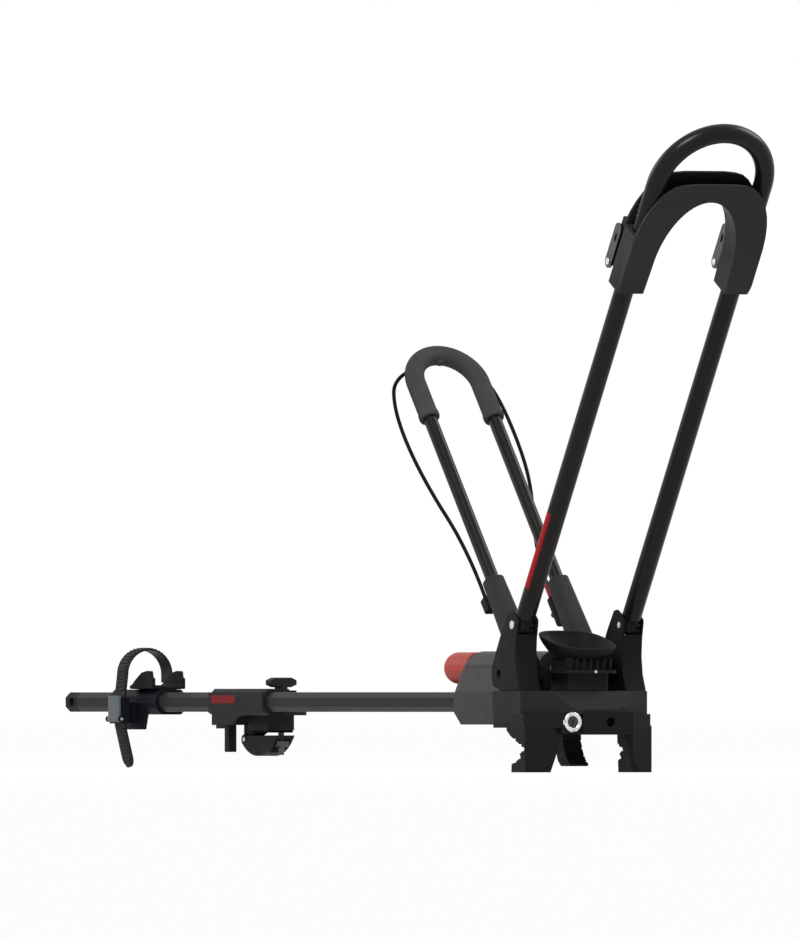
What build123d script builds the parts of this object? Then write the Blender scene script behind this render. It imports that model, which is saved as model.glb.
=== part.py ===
from build123d import *
import math
import os

# Roof-mounted bike carrier, in millimetres.
# +X points to the head end, +Y to the carrier's left, +Z up.
# The origin is on the mid-plane, below the front hoop's pivot, on the plane where the crossbars sit.

# Clearances
running_gap = 0.05
side_gap = 0.3
slide_gap = 0.3
overrun = 5.0

# Main rail
rail_width = 40.0
rail_height = 26.0
rail_bevel = 7.0
rail_wall = 2.2
rail_mid_z = 40.5
rail_front_x = 38.0
rail_rear_x = -1352.0
cap_length = 36.0
cap_plug_length = 22.0
cap_bevel = 5.0
cap_hole_radius = 6.0
cap_hole_inset = 22.0

# Head base with its two claws
head_half_width = 94.0
head_rear_x = -60.0
head_front_x = 53.0
head_corner_x = 30.0
head_shoulder_x = 45.0
head_shoulder_y = 60.0
base_low_z = 7.0
seam_z = 25.0
head_wall = 3.0
claw_low_z = -51.0
claw_rear_x = -17.0
claw_front_x = 45.0
claw_tip_inner_y = 77.0
claw_foot_inner_y = 60.0
claw_root_inner_y = 44.0
claw_tooth_radius = 3.2
seat_pad_length = 38.0
seat_pad_width = 30.0
seat_pad_y = 40.0
seat_pad_front_x = -12.0

# Head cover
cover_top_z = 55.0
cover_rear_x = -62.0
cover_side_front_x = 21.0
cover_nose_x = 56.0
cover_nose_half_width = 30.0
cover_cheek_x = 38.0
cover_cheek_y = 60.0
cover_nose_low_z = 30.5
cover_wall = 3.0

# Front hoop and its towers
front_pivot_z = 141.0
front_lean = 32.3
front_tube_radius = 12.7
front_tube_wall = 1.6
front_half_span = 78.7
front_straight = 672.0
front_pin_radius = 4.0
pin_head_radius = 5.6
pin_head_height = 1.6
hoop_plug_length = 52.0
tower_inner_y = 63.2
tower_outer_y = 94.0
tower_rear_x = -59.5
tower_front_x = 20.0
tower_top_z = 161.0
tower_wall = 2.6
tower_corner = 9.0
tower_waist_share = 0.85

# Rear hoop
rear_pivot_x = -38.0
rear_pivot_z = 77.0
rear_lean = -39.2
rear_tube_radius = 9.0
rear_tube_wall = 1.4
rear_half_span = 48.0
rear_straight = 491.0
rear_tube_start = 40.0
rear_bolt_radius = 4.0
rear_bolt_head_radius = 6.5
rear_bolt_head_height = 4.0
boot_width = 29.0
boot_depth = 30.0
boot_top_depth = 26.0
boot_top_width = 27.0
boot_length = 157.0
boot_corner = 5.0
grip_radius = 13.0
grip_start = 431.0
grip_lip_radius = 14.0
grip_lip_length = 9.0

# Lock cable and what holds it
cable_radius = 2.5
bend_share = 0.45
clip_length = 20.0
clip_width = 12.0
lock_body_radius = 8.0
lock_body_length = 40.0
lock_body_top = 150.0
lock_body_behind = 29.0
lock_body_across = 50.5
lock_strap_width = 8.0
ferrule_radius = 4.6
ferrule_length = 24.0
button_radius = 4.4
button_height = 5.0
button_hole_depth = 6.0
button_travel = 3.0
button_drop = 18.0

# Tyre saddle on the front hoop, heights counted along the leg from the pivot
saddle_low = 517.0
saddle_top = 682.0
saddle_outer_half = 97.0
saddle_front_face = 17.0
saddle_plate = 3.6
saddle_rear_face = -17.0
saddle_inner_half = 61.0
saddle_web = 4.0
saddle_apex = 656.0
saddle_crown_start = 558.0
saddle_crown_half = 58.2
saddle_mouth_half = 60.2
sleeve_top = 602.0
latch_base_rise = 29.0
latch_base_behind = 37.0
latch_base_width = 20.0
latch_rivet_rise = 16.0
latch_rivet_behind = 37.0
latch_rivet_radius = 3.0
latch_lever_width = 17.0
latch_lever_length = 66.0
latch_lever_plate = 2.5
latch_slot_width = 5.0
latch_slot_length = 12.0

# Clamp housing, screw and knob
screw_z = 85.0
housing_front_x = -62.0
housing_length = 224.0
housing_radius = 22.0
housing_half_width = 28.0
housing_low_z = 11.0
housing_corner = 7.0
housing_wall = 2.6
knob_radius = 21.0
knob_recess = 22.0
knob_length = 53.0
knob_grooves = 12
knob_groove_radius = 1.6
screw_radius = 5.0
screw_front_x = -62.5
nut_front_x = -92.0
nut_length = 22.0
nut_half_width = 12.0
arm_thickness = 4.0
arm_inner_y = 20.6
tongue_low_z = 14.6
tongue_top_z = 26.4
jaw_half_width = 13.5
jaw_rear_x = -42.0
jaw_front_x = 9.0
jaw_low_z = -43.0
jaw_travel = 80.0
jaw_slot_gap = 0.8
jaw_rib_depth = 1.5

# Wheel cradle
cradle_rear_x = -42.0
cradle_front_x = 50.0
cradle_half_width = 46.0
cradle_rear_z = 134.0
cradle_front_z = 110.0
cradle_depth = 30.0
cradle_wall = 3.0
cradle_foot_half_width = 30.0
cradle_foot_rear_x = -18.0
cradle_foot_front_x = 36.0
cradle_rib_count = 7
cradle_rib_width = 3.0
cradle_rib_depth = 4.0
cradle_rib_spread_share = 0.78
dish_outer_shares = ((0.0, 1.0, 1.0, 0.80), (0.33, 0.93, 0.92, 0.72), (1.0, 0.52, 0.52, 0.40))
dish_inner_shares = ((0.0, 0.94, 0.93, 0.74), (0.33, 0.86, 0.85, 0.66), (1.0, 0.44, 0.44, 0.34))
shelf_top_z = 82.0
shelf_thickness = 4.0
shelf_half_width = 38.0
shelf_front_x = 48.0
shelf_screw_radius = 1.9
shelf_screw_y = 2.6
shelf_screw_length = 8.0

# Front block and locks
block_right_y = -20.0
block_left_y = 56.0
block_low_z = -2.0
block_top_z = 29.7
block_rear_x = 40.0
block_front_x = 57.0
block_hole_radius = 6.5
block_hole_y = 20.8
block_hole_z = 14.3
block_hole_depth = 12.0
block_edge = 1.5
lock_y = -35.0
lock_z = 14.5
lock_ring_radius = 13.0
lock_ring_bore = 7.6
lock_ring_proud = 4.0
lock_ring_depth = 10.0
lock_notch = 3.0
lock_core_proud = 3.0
keyway_width = 1.6
keyway_height = 8.0
keyway_depth = 4.0

# Rear crossbar clamp
clamp_rear_x = -970.0
clamp_front_x = -820.0
clamp_wall = 4.6
clamp_left_y = 46.0
clamp_flare_low_z = 10.0
clamp_block_rear_x = -915.0
clamp_block_front_x = -858.0
clamp_block_right_y = 6.0
clamp_pad_thickness = 3.0
clamp_bolt_inset = 10.0
clamp_bolt_y = 30.0
clamp_bolt_radius = 4.0
clamp_bolt_low_z = -29.5
washer_thickness = 2.5
washer_half_length = 22.0
washer_radius = 9.0
tknob_half_length = 19.0
tknob_width = 16.0
tknob_height = 16.5
tknob_hub_radius = 8.5
tknob_lift = 0.4
lower_jaw_rear_x = -963.0
lower_jaw_front_x = -856.0
lower_jaw_top_z = -3.6
lower_jaw_low_z = -30.0
lower_jaw_right_y = 16.0
lower_jaw_left_y = 44.0
lower_jaw_wall = 4.0
jaw_pin_x = -947.0
jaw_pin_z = -9.0
jaw_pin_radius = 3.0
jaw_eye_radius = 7.0
nut_barrel_radius = 5.4
nut_barrel_length = 18.0
jaw_slot_length = 13.0
jaw_pocket_rear_x = -884.0
jaw_pocket_front_x = -860.0
post_rear_x = -986.0
post_front_x = -974.0
post_right_y = 8.0
post_left_y = 20.0
post_low_z = -25.7
post_flange = 24.0

# Rear wheel tray
tray_rear_x = -1255.0
tray_front_x = -1120.0
tray_wall = 3.6
tray_apron_low_z = 4.0
tray_apron_rear_x = -1215.0
tray_apron_front_x = -1150.0
wing_rear_x = -1192.0
wing_front_x = -1127.0
wing_half_gap = 20.0
wing_top_z = 82.0
wing_low_z = 60.0
wing_thickness = 5.0
trough_floor_z = 63.0
tread_sink = 1.5
strap_x = -1183.0
strap_width = 28.0
strap_thickness = 2.4
strap_arch_z = 77.0
strap_arch_right_y = -40.0
strap_far_low_z = 66.5
strap_buckle_y = -43.5
strap_buckle_top_z = 48.0
strap_buckle_low_z = 10.0
strap_tail_y = -32.8
strap_tail_low_z = -33.0
strap_tooth_pitch = 3.6
strap_tooth_height = 1.0
strap_tooth_width = 1.7
strap_tooth_root = 0.4
first_tooth = 4
buckle_half_width = 19.0
buckle_outer_y = -52.0
buckle_inner_y = -39.5
buckle_low_z = 12.0
buckle_top_z = 46.0
buckle_wall = 2.4
lever_thickness = 3.4
lever_pin_z = 18.0
lever_pin_radius = 2.0
lever_half_width = 15.0
lever_top_z = 49.0
screw_head_radius = 3.4
screw_head_height = 1.6

# Lock cable routes as places (across, along the rear hoop's leg, in front of it), chosen by hand
cable_route_right = [
    (-49.2, 517.5, -8.8), (-70.0, 508.0, -14.0), (-81.0, 470.0, -18.0), (-84.0, 420.0, -19.5),
    (-80.5, 365.0, -20.0), (-72.0, 310.0, -20.5), (-61.0, 262.0, -21.0), (-54.5, 212.0, -22.5),
    (-52.0, 168.0, -24.5), (-52.5, 146.0, -24.8),
]
cable_route_left = [
    (49.2, 517.5, -8.8), (70.0, 508.0, -14.0), (80.5, 470.0, -18.0), (83.5, 420.0, -19.5),
    (82.0, 370.0, -20.0), (75.5, 325.0, -21.0), (64.0, 282.0, -23.0), (54.8, 238.0, -26.0),
    (50.6, 196.0, -28.6), (50.5, 174.0, -29.0),
]

os.makedirs("parts", exist_ok=True)

sides = ((-1, "right"), (1, "left"))
rail_low_z = rail_mid_z - rail_height / 2
rail_top_z = rail_mid_z + rail_height / 2
knob_face_x = housing_front_x - housing_length + knob_recess
knob_ball_x = knob_face_x - knob_length
clamp_bolt_x = clamp_block_front_x - clamp_bolt_inset
latch_base_low = saddle_low + latch_base_rise
latch_rivet_height = saddle_low + latch_rivet_rise
clamp_block_top_z = rail_low_z - clamp_wall


def spread(shares, left, low, width, height):
    """Corner points from shares of a rectangle."""
    return [(left + across * width, low + up * height) for across, up in shares]


def mirrored(points):
    """Points of one half and, in reverse order, of the other half."""
    return points + [(x, -y) for x, y in reversed(points)]


def leaning_plane(pivot_x, pivot_z, lean):
    """The plane of a hoop: its x runs across, its y along the legs, its z to the front."""
    angle = math.radians(lean)
    return Plane(
        origin=(pivot_x, 0, pivot_z), x_dir=(0, 1, 0), z_dir=(math.cos(angle), 0, -math.sin(angle))
    )


def cross_plane(hoop, height, across=0, ahead=0):
    """A plane across a hoop's legs: x runs across, y to the rear, z up the legs."""
    origin = hoop.from_local_coords((across, height, ahead))
    return Plane(origin=origin, x_dir=hoop.x_dir, z_dir=hoop.y_dir)


def side_plane(hoop, across):
    """A plane beside a hoop's leg: x runs to the front, y up the leg."""
    origin = hoop.from_local_coords((across, 0, 0))
    return Plane(origin=origin, x_dir=hoop.z_dir, z_dir=-hoop.x_dir)


def rail_section(grow):
    """The rail's outline, grown on every side."""
    with Locations((0, rail_mid_z)):
        shape = Rectangle(rail_width + 2 * grow, rail_height + 2 * grow)
    chamfer(shape.vertices(), rail_bevel + grow / 2)


def finish(part, name):
    """Names a piece and writes it."""
    part.label = name
    export_step(part, f"parts/{name}.step")


front_hoop_plane = leaning_plane(0, front_pivot_z, front_lean)
rear_hoop_plane = leaning_plane(rear_pivot_x, rear_pivot_z, rear_lean)

# Main rail
with BuildPart() as main_rail:
    with BuildSketch(Plane.YZ.offset(rail_rear_x)):
        rail_section(0)
        offset(amount=-rail_wall, mode=Mode.SUBTRACT)
    extrude(amount=rail_front_x - rail_rear_x)
finish(main_rail.part, "main_rail")

# Rear end cap
with BuildPart() as rail_end_cap:
    with BuildSketch(Plane.YZ.offset(rail_rear_x)):
        rail_section(0)
    extrude(amount=-cap_length)
    chamfer(rail_end_cap.faces().sort_by(Axis.X)[0].edges(), cap_bevel)
    with BuildSketch(Plane.YZ.offset(rail_rear_x)):
        rail_section(-rail_wall - side_gap / 2)
    extrude(amount=cap_plug_length)
    cap_hole_x = rail_rear_x - cap_length + cap_hole_inset
    with BuildSketch(Plane.XZ):
        with Locations((cap_hole_x, rail_mid_z)):
            Circle(cap_hole_radius)
    extrude(amount=rail_width, both=True, mode=Mode.SUBTRACT)
finish(rail_end_cap.part, "rail_end_cap")

# Head base: a shell under the seam, with two claws that open to the rear
base_outline = mirrored(
    [
        (head_rear_x, -head_half_width + housing_corner),
        (head_rear_x + housing_corner, -head_half_width),
        (head_corner_x, -head_half_width),
        (head_shoulder_x, -head_shoulder_y),
        (head_front_x, -head_shoulder_y + housing_corner),
    ]
)
claw_side_shares = (
    (0.0, 1.05), (0.0, 0.94), (0.18, 0.81), (0.5, 0.66), (0.70, 0.56), (0.71, 0.49),
    (0.56, 0.40), (0.52, 0.29), (0.22, 0.18), (0.21, 0.0), (0.93, 0.0), (1.0, 0.35), (1.0, 1.05),
)
tooth_shares = ((0.34, 0.735), (0.60, 0.61), (0.72, 0.525), (0.56, 0.345), (0.37, 0.235))

def claw(side):
    """One claw, as what its side view, its plan and its front view have in common."""
    claw_length = claw_front_x - claw_rear_x
    claw_height = base_low_z - claw_low_z
    with BuildPart(mode=Mode.PRIVATE) as body:
        with BuildSketch(Plane.XZ.offset(-side * claw_root_inner_y)):
            Polygon(*spread(claw_side_shares, claw_rear_x, claw_low_z, claw_length, claw_height), align=None)
            with Locations(*spread(tooth_shares, claw_rear_x, claw_low_z, claw_length, claw_height)):
                Circle(claw_tooth_radius, mode=Mode.SUBTRACT)
        extrude(amount=-side * (head_half_width - claw_root_inner_y))
        with BuildSketch(Plane.XY.offset(claw_low_z - overrun)):
            plan = [
                (claw_rear_x - overrun, side * head_half_width),
                (claw_rear_x - overrun, side * claw_tip_inner_y),
                (head_corner_x, side * claw_root_inner_y),
                (claw_front_x + overrun, side * claw_root_inner_y),
                (claw_front_x, side * head_shoulder_y),
                (head_corner_x + claw_tooth_radius, side * head_half_width),
            ]
            Polygon(*plan, align=None)
        extrude(amount=claw_height + head_wall + overrun, mode=Mode.INTERSECT)
        with BuildSketch(Plane.YZ.offset(claw_rear_x - overrun)):
            front = [
                (side * claw_root_inner_y, base_low_z + head_wall),
                (side * claw_foot_inner_y, claw_low_z),
                (side * head_half_width, claw_low_z),
                (side * head_half_width, base_low_z + head_wall),
            ]
            Polygon(*front, align=None)
        extrude(amount=claw_length + 2 * overrun, mode=Mode.INTERSECT)
    return body.part


claws = [claw(side) for side, label in sides]
with BuildPart() as head_base:
    with BuildSketch(Plane.XY.offset(base_low_z)):
        Polygon(*base_outline, align=None)
    extrude(amount=seam_z - base_low_z)
    with BuildSketch(Plane.XY.offset(base_low_z + head_wall)):
        Polygon(*base_outline, align=None)
        offset(amount=-head_wall, kind=Kind.INTERSECTION)
    extrude(amount=seam_z, mode=Mode.SUBTRACT)
    for piece in claws:
        add(piece)
    # Boss behind the lock ring
    with BuildSketch(Plane.YZ.offset(head_front_x)):
        with Locations((lock_y, lock_z)):
            Rectangle(2 * lock_ring_radius + head_wall, seam_z - base_low_z + lock_ring_radius)
    extrude(amount=-lock_ring_depth - head_wall)
    with BuildSketch(Plane.XY.offset(seam_z)):
        Rectangle(4 * head_half_width, 4 * head_half_width)
    extrude(amount=head_half_width, mode=Mode.SUBTRACT)
    with BuildSketch(Plane.YZ.offset(head_front_x + overrun)):
        with Locations((lock_y, lock_z)):
            Circle(lock_ring_radius + side_gap / 2)
    extrude(amount=-lock_ring_depth - overrun, mode=Mode.SUBTRACT)
    # Slot for the centre jaw and the way in from the clamp housing
    with BuildSketch(Plane.XY):
        slot_front_x = jaw_front_x + overrun
        with Locations(((head_rear_x - overrun + slot_front_x) / 2, 0)):
            Rectangle(slot_front_x - head_rear_x + overrun, 2 * (jaw_half_width + jaw_slot_gap))
    extrude(amount=seam_z + overrun, mode=Mode.SUBTRACT)
    # Seat for the front block
    with BuildSketch(Plane.YZ.offset(block_rear_x)):
        with Locations(((block_right_y + block_left_y) / 2, (block_low_z + block_top_z) / 2)):
            Rectangle(block_left_y - block_right_y, block_top_z - block_low_z)
    extrude(amount=head_half_width, mode=Mode.SUBTRACT)
finish(head_base.part, "head_base")

# Crossbar seat pads under the base
for side, label in sides:
    with BuildPart() as seat_pad:
        with BuildSketch(Plane.XY):
            with Locations((seat_pad_front_x - seat_pad_length / 2, side * seat_pad_y)):
                RectangleRounded(seat_pad_length, seat_pad_width, head_wall)
        extrude(amount=base_low_z)
    finish(seat_pad.part, f"seat_pad_{label}")

# Head cover with its sloping nose
cover_outline = mirrored(
    [
        (cover_rear_x, -head_half_width + housing_corner),
        (cover_rear_x + housing_corner, -head_half_width),
        (cover_side_front_x, -head_half_width),
        (cover_cheek_x, -cover_cheek_y),
        (cover_nose_x, -cover_nose_half_width),
    ]
)
with BuildPart() as head_cover:
    with BuildSketch(Plane.XY.offset(seam_z)):
        Polygon(*cover_outline, align=None)
    extrude(amount=cover_top_z - seam_z)
    with BuildSketch(Plane.XZ):
        Polygon(
            (cover_cheek_x, cover_top_z),
            (cover_nose_x, cover_nose_low_z),
            (cover_nose_x + overrun, cover_top_z + overrun),
            align=None,
        )
    extrude(amount=head_half_width + overrun, both=True, mode=Mode.SUBTRACT)
    with BuildSketch(Plane.XY.offset(seam_z)):
        Polygon(*cover_outline, align=None)
        offset(amount=-cover_wall, kind=Kind.INTERSECTION)
        with Locations((cover_cheek_x + head_half_width, 0)):
            Rectangle(2 * head_half_width, 2 * head_half_width, mode=Mode.SUBTRACT)
    extrude(amount=rail_top_z - seam_z + side_gap, mode=Mode.SUBTRACT)
    with BuildSketch(Plane.YZ.offset(cover_rear_x - overrun)):
        rail_section(side_gap / 2)
    extrude(amount=rail_front_x - cover_rear_x + overrun + side_gap, mode=Mode.SUBTRACT)
    with BuildSketch(Plane.YZ.offset(block_rear_x)):
        with Locations(((block_right_y + block_left_y) / 2, (block_low_z + block_top_z) / 2)):
            Rectangle(block_left_y - block_right_y, block_top_z - block_low_z)
    extrude(amount=head_half_width, mode=Mode.SUBTRACT)
    with BuildSketch(Plane.YZ.offset(head_front_x - lock_ring_depth)):
        with Locations((lock_y, lock_z)):
            Circle(lock_ring_radius + side_gap / 2)
    extrude(amount=head_half_width, mode=Mode.SUBTRACT)
    # Way in for the clamp's arms and tongue, beside and under the rail
    with BuildSketch(Plane.YZ.offset(cover_rear_x - overrun)):
        with Locations((0, seam_z)):
            Rectangle(2 * (jaw_half_width + jaw_slot_gap), 2 * (tongue_top_z - seam_z + side_gap))
    extrude(amount=cover_wall + 2 * overrun, mode=Mode.SUBTRACT)
finish(head_cover.part, "head_cover")

# Towers that carry both hoops
tower_shares = (
    (0.30, 0.0), (1.0, 0.0), (0.89, 0.20), (tower_waist_share, 0.42), (0.87, 0.65), (0.92, 0.83),
    (0.92, 0.875),
    (0.80, 0.955), (0.68, 1.0), (0.58, 0.985), (0.35, 0.74), (0.0, 0.30), (0.0, 0.14), (0.06, 0.05),
)
for side, label in sides:
    tower_mid_y = side * (tower_inner_y + tower_outer_y) / 2
    tower_width = tower_outer_y - tower_inner_y
    with BuildPart() as tower:
        with BuildSketch(Plane.XZ.offset(-side * tower_inner_y)):
            Polygon(
                *spread(
                    tower_shares, tower_rear_x, cover_top_z, tower_front_x - tower_rear_x,
                    tower_top_z - cover_top_z,
                ),
                align=None,
            )
        extrude(amount=-side * tower_width)
        outer_face = tower.faces().sort_by(Axis.Y)[0 if side < 0 else -1]
        fillet(outer_face.edges(), tower_wall)
        # Slot between the ears, low enough for the tube to lean
        slot_width = 2 * (front_tube_radius + side_gap)
        slot_low_z = front_pivot_z - front_tube_radius - side_gap
        with BuildSketch(Plane.XZ.offset(-side * (front_half_span - slot_width / 2))):
            with Locations((0, slot_low_z + tower_top_z / 2)):
                Rectangle(tower_top_z, tower_top_z)
        extrude(amount=-side * slot_width, mode=Mode.SUBTRACT)
        # Hollow foot
        hollow_rear_x = rear_pivot_x + rear_bolt_head_radius + 2 * tower_corner
        hollow_front_x = tower_rear_x + tower_waist_share * (tower_front_x - tower_rear_x) - tower_wall
        with BuildSketch(Plane.XY.offset(cover_top_z)):
            with Locations(((hollow_rear_x + hollow_front_x) / 2, tower_mid_y)):
                Rectangle(hollow_front_x - hollow_rear_x, tower_width - 2 * tower_wall)
        extrude(amount=slot_low_z - cover_top_z - 3 * tower_wall, mode=Mode.SUBTRACT)
        with BuildSketch(Plane.XZ):
            with Locations((0, front_pivot_z)):
                Circle(front_pin_radius)
            with Locations((rear_pivot_x, rear_pivot_z)):
                Circle(rear_bolt_radius)
        extrude(amount=-side * (tower_outer_y + overrun), mode=Mode.SUBTRACT)
        with BuildSketch(Plane.XZ.offset(-side * (tower_outer_y + overrun))):
            with Locations((rear_pivot_x, rear_pivot_z)):
                RegularPolygon(rear_bolt_head_radius, 6)
        extrude(amount=side * (rear_bolt_head_height + 2 * overrun), mode=Mode.SUBTRACT)
    finish(tower.part, f"tower_{label}")

# Pivot pins of the front hoop, riveted through the ears
with BuildPart() as hoop_pins:
    for side, label in sides:
        with BuildSketch(Plane.XZ.offset(-side * tower_inner_y)):
            with Locations((0, front_pivot_z)):
                Circle(front_pin_radius)
        extrude(amount=-side * (tower_outer_y - tower_inner_y))
        with BuildSketch(Plane.XZ.offset(-side * tower_outer_y)):
            with Locations((0, front_pivot_z)):
                Circle(pin_head_radius)
        extrude(amount=-side * pin_head_height)
finish(hoop_pins.part, "front_hoop_pins")

# Pivot bolts of the rear hoop, with hexagon heads sunk in the towers
with BuildPart() as rear_bolts:
    for side, label in sides:
        bolt_inner_y = rear_half_span - boot_width / 2 + tower_wall
        with BuildSketch(Plane.XZ.offset(-side * bolt_inner_y)):
            with Locations((rear_pivot_x, rear_pivot_z)):
                Circle(rear_bolt_radius)
        extrude(amount=-side * (tower_outer_y - overrun - bolt_inner_y - rear_bolt_head_height))
        head_y = tower_outer_y - overrun - rear_bolt_head_height
        with BuildSketch(Plane.XZ.offset(-side * head_y)):
            with Locations((rear_pivot_x, rear_pivot_z)):
                RegularPolygon(rear_bolt_head_radius, 6)
        extrude(amount=-side * rear_bolt_head_height)
finish(rear_bolts.part, "rear_hoop_bolts")

# Front hoop: one bent tube
with BuildPart() as front_hoop:
    with BuildLine(front_hoop_plane) as front_path:
        Line((-front_half_span, 0), (-front_half_span, front_straight))
        ThreePointArc(
            (-front_half_span, front_straight), (0, front_straight + front_half_span),
            (front_half_span, front_straight),
        )
        Line((front_half_span, front_straight), (front_half_span, 0))
    with BuildSketch(cross_plane(front_hoop_plane, 0, -front_half_span)):
        Circle(front_tube_radius)
        Circle(front_tube_radius - front_tube_wall, mode=Mode.SUBTRACT)
    sweep(path=front_path.wires()[0])
    with BuildSketch(side_plane(front_hoop_plane, 0)):
        Circle(front_pin_radius + running_gap)
    extrude(amount=tower_outer_y, both=True, mode=Mode.SUBTRACT)
finish(front_hoop.part, "front_hoop")

# Pivot plugs in the ends of the front hoop, round below the pin
plug_radius = front_tube_radius - front_tube_wall
with BuildPart() as hoop_plugs:
    for side, label in sides:
        with BuildSketch(cross_plane(front_hoop_plane, 0, side * front_half_span)):
            Circle(plug_radius)
        extrude(amount=hoop_plug_length)
        with BuildSketch(side_plane(front_hoop_plane, side * front_half_span)):
            Circle(front_tube_radius)
            with Locations((0, tower_top_z / 2)):
                Rectangle(tower_top_z, tower_top_z, mode=Mode.SUBTRACT)
        extrude(amount=plug_radius, both=True)
    with BuildSketch(side_plane(front_hoop_plane, 0)):
        Circle(front_pin_radius + running_gap)
    extrude(amount=tower_outer_y, both=True, mode=Mode.SUBTRACT)
finish(hoop_plugs.part, "front_hoop_plugs")

# Tyre saddle: outline places as (across, height) along the hoop
saddle_height = saddle_top - saddle_low
saddle_outer_shares = (
    (0.955, 0.0), (0.985, 0.03), (1.0, 0.08), (1.0, 0.42), (0.985, 0.53), (0.955, 0.63), (0.91, 0.72),
    (0.85, 0.80), (0.775, 0.875), (0.69, 0.93), (0.59, 0.97), (0.47, 0.99), (0.30, 1.0),
)


def saddle_points(shares):
    """A half outline of the saddle and its mirror image."""
    half = [(saddle_outer_half * across, saddle_low + saddle_height * up) for across, up in shares]
    return half + [(-x, y) for x, y in reversed(half)]


def saddle_arch(grow):
    """The opening that the tyre goes in, closed below the saddle."""
    with BuildSketch(mode=Mode.PRIVATE) as opening:
        with BuildLine():
            crown = EllipticalCenterArc(
                (0, saddle_crown_start), saddle_crown_half + grow, saddle_apex - saddle_crown_start + grow,
                start_angle=0, arc_size=180,
            )
            foot_half, foot_height = saddle_mouth_half + grow, saddle_low - overrun
            Polyline(crown @ 1, (-foot_half, foot_height), (foot_half, foot_height), crown @ 0)
        make_face()
    return opening.sketch


# Tyre saddle: a front plate with a web round the arch and a sleeve on each leg
sleeve_mid = (saddle_outer_half + saddle_inner_half) / 2
with BuildPart() as tyre_saddle:
    for side, label in sides:
        with BuildSketch(cross_plane(front_hoop_plane, saddle_low, side * sleeve_mid)):
            Rectangle(saddle_outer_half - saddle_inner_half, saddle_front_face - saddle_rear_face)
            chamfer(vertices(), 2 * front_tube_wall)
            with Locations((side * (front_half_span - sleeve_mid), 0)):
                Circle(front_tube_radius + slide_gap, mode=Mode.SUBTRACT)
        extrude(amount=sleeve_top - saddle_low)
    with BuildSketch(front_hoop_plane.offset(saddle_front_face - saddle_plate)):
        Polygon(*saddle_points(saddle_outer_shares), align=None)
        add(saddle_arch(saddle_web / 2), mode=Mode.SUBTRACT)
    extrude(amount=saddle_plate)
    with BuildSketch(front_hoop_plane.offset(saddle_rear_face)):
        add(saddle_arch(saddle_web))
        add(saddle_arch(0), mode=Mode.SUBTRACT)
        with Locations((0, saddle_low - overrun)):
            Rectangle(4 * saddle_outer_half, 2 * overrun, mode=Mode.SUBTRACT)
    extrude(amount=saddle_front_face - saddle_rear_face)
finish(tyre_saddle.part, "tyre_saddle")

with BuildPart() as saddle_back:
    with BuildSketch(front_hoop_plane.offset(saddle_rear_face)):
        Polygon(*saddle_points(saddle_outer_shares), align=None)
        with Locations((0, saddle_low)):
            Rectangle(4 * saddle_outer_half, 2 * (sleeve_top - saddle_low), mode=Mode.SUBTRACT)
        add(saddle_arch(saddle_web), mode=Mode.SUBTRACT)
    extrude(amount=-saddle_plate)
finish(saddle_back.part, "saddle_back_plate")

# Latches behind the saddle's sleeves
latch_mid_behind = (latch_base_behind - saddle_rear_face) / 2
with BuildPart() as latch_bases:
    for side, label in sides:
        with BuildSketch(
            cross_plane(front_hoop_plane, latch_base_low, side * front_half_span, -latch_mid_behind)
        ):
            Rectangle(latch_base_width, latch_base_behind + saddle_rear_face)
        extrude(amount=sleeve_top - latch_base_low)
        # Ears for the rivet
        for ear in (-1, 1):
            ear_y = side * front_half_span + ear * (latch_base_width - latch_rivet_radius) / 2
            with BuildSketch(side_plane(front_hoop_plane, ear_y)):
                with Locations((-latch_rivet_behind, latch_rivet_height)):
                    Circle(2 * latch_rivet_radius)
                with Locations((-(latch_rivet_behind - saddle_rear_face) / 2, latch_base_low)):
                    Rectangle(
                        latch_rivet_behind + saddle_rear_face,
                        2 * (latch_base_low - latch_rivet_height),
                    )
            extrude(amount=latch_rivet_radius / 2, both=True)
    with BuildSketch(side_plane(front_hoop_plane, 0)):
        with Locations((-latch_rivet_behind, latch_rivet_height)):
            Circle(latch_rivet_radius)
    extrude(amount=tower_outer_y + overrun, both=True, mode=Mode.SUBTRACT)
finish(latch_bases.part, "latch_bases")

latch_reach = latch_base_width / 2 + side_gap + latch_lever_plate
with BuildPart() as latch_rivets:
    for side, label in sides:
        with BuildSketch(side_plane(front_hoop_plane, side * front_half_span)):
            with Locations((-latch_rivet_behind, latch_rivet_height)):
                Circle(latch_rivet_radius)
        extrude(amount=latch_reach, both=True)
        for end in (-1, 1):
            with BuildSketch(side_plane(front_hoop_plane, side * front_half_span + end * latch_reach)):
                with Locations((-latch_rivet_behind, latch_rivet_height)):
                    Circle(latch_rivet_radius * 3 / 2)
            extrude(amount=-end * latch_rivet_radius / 2)
finish(latch_rivets.part, "latch_rivets")

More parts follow.
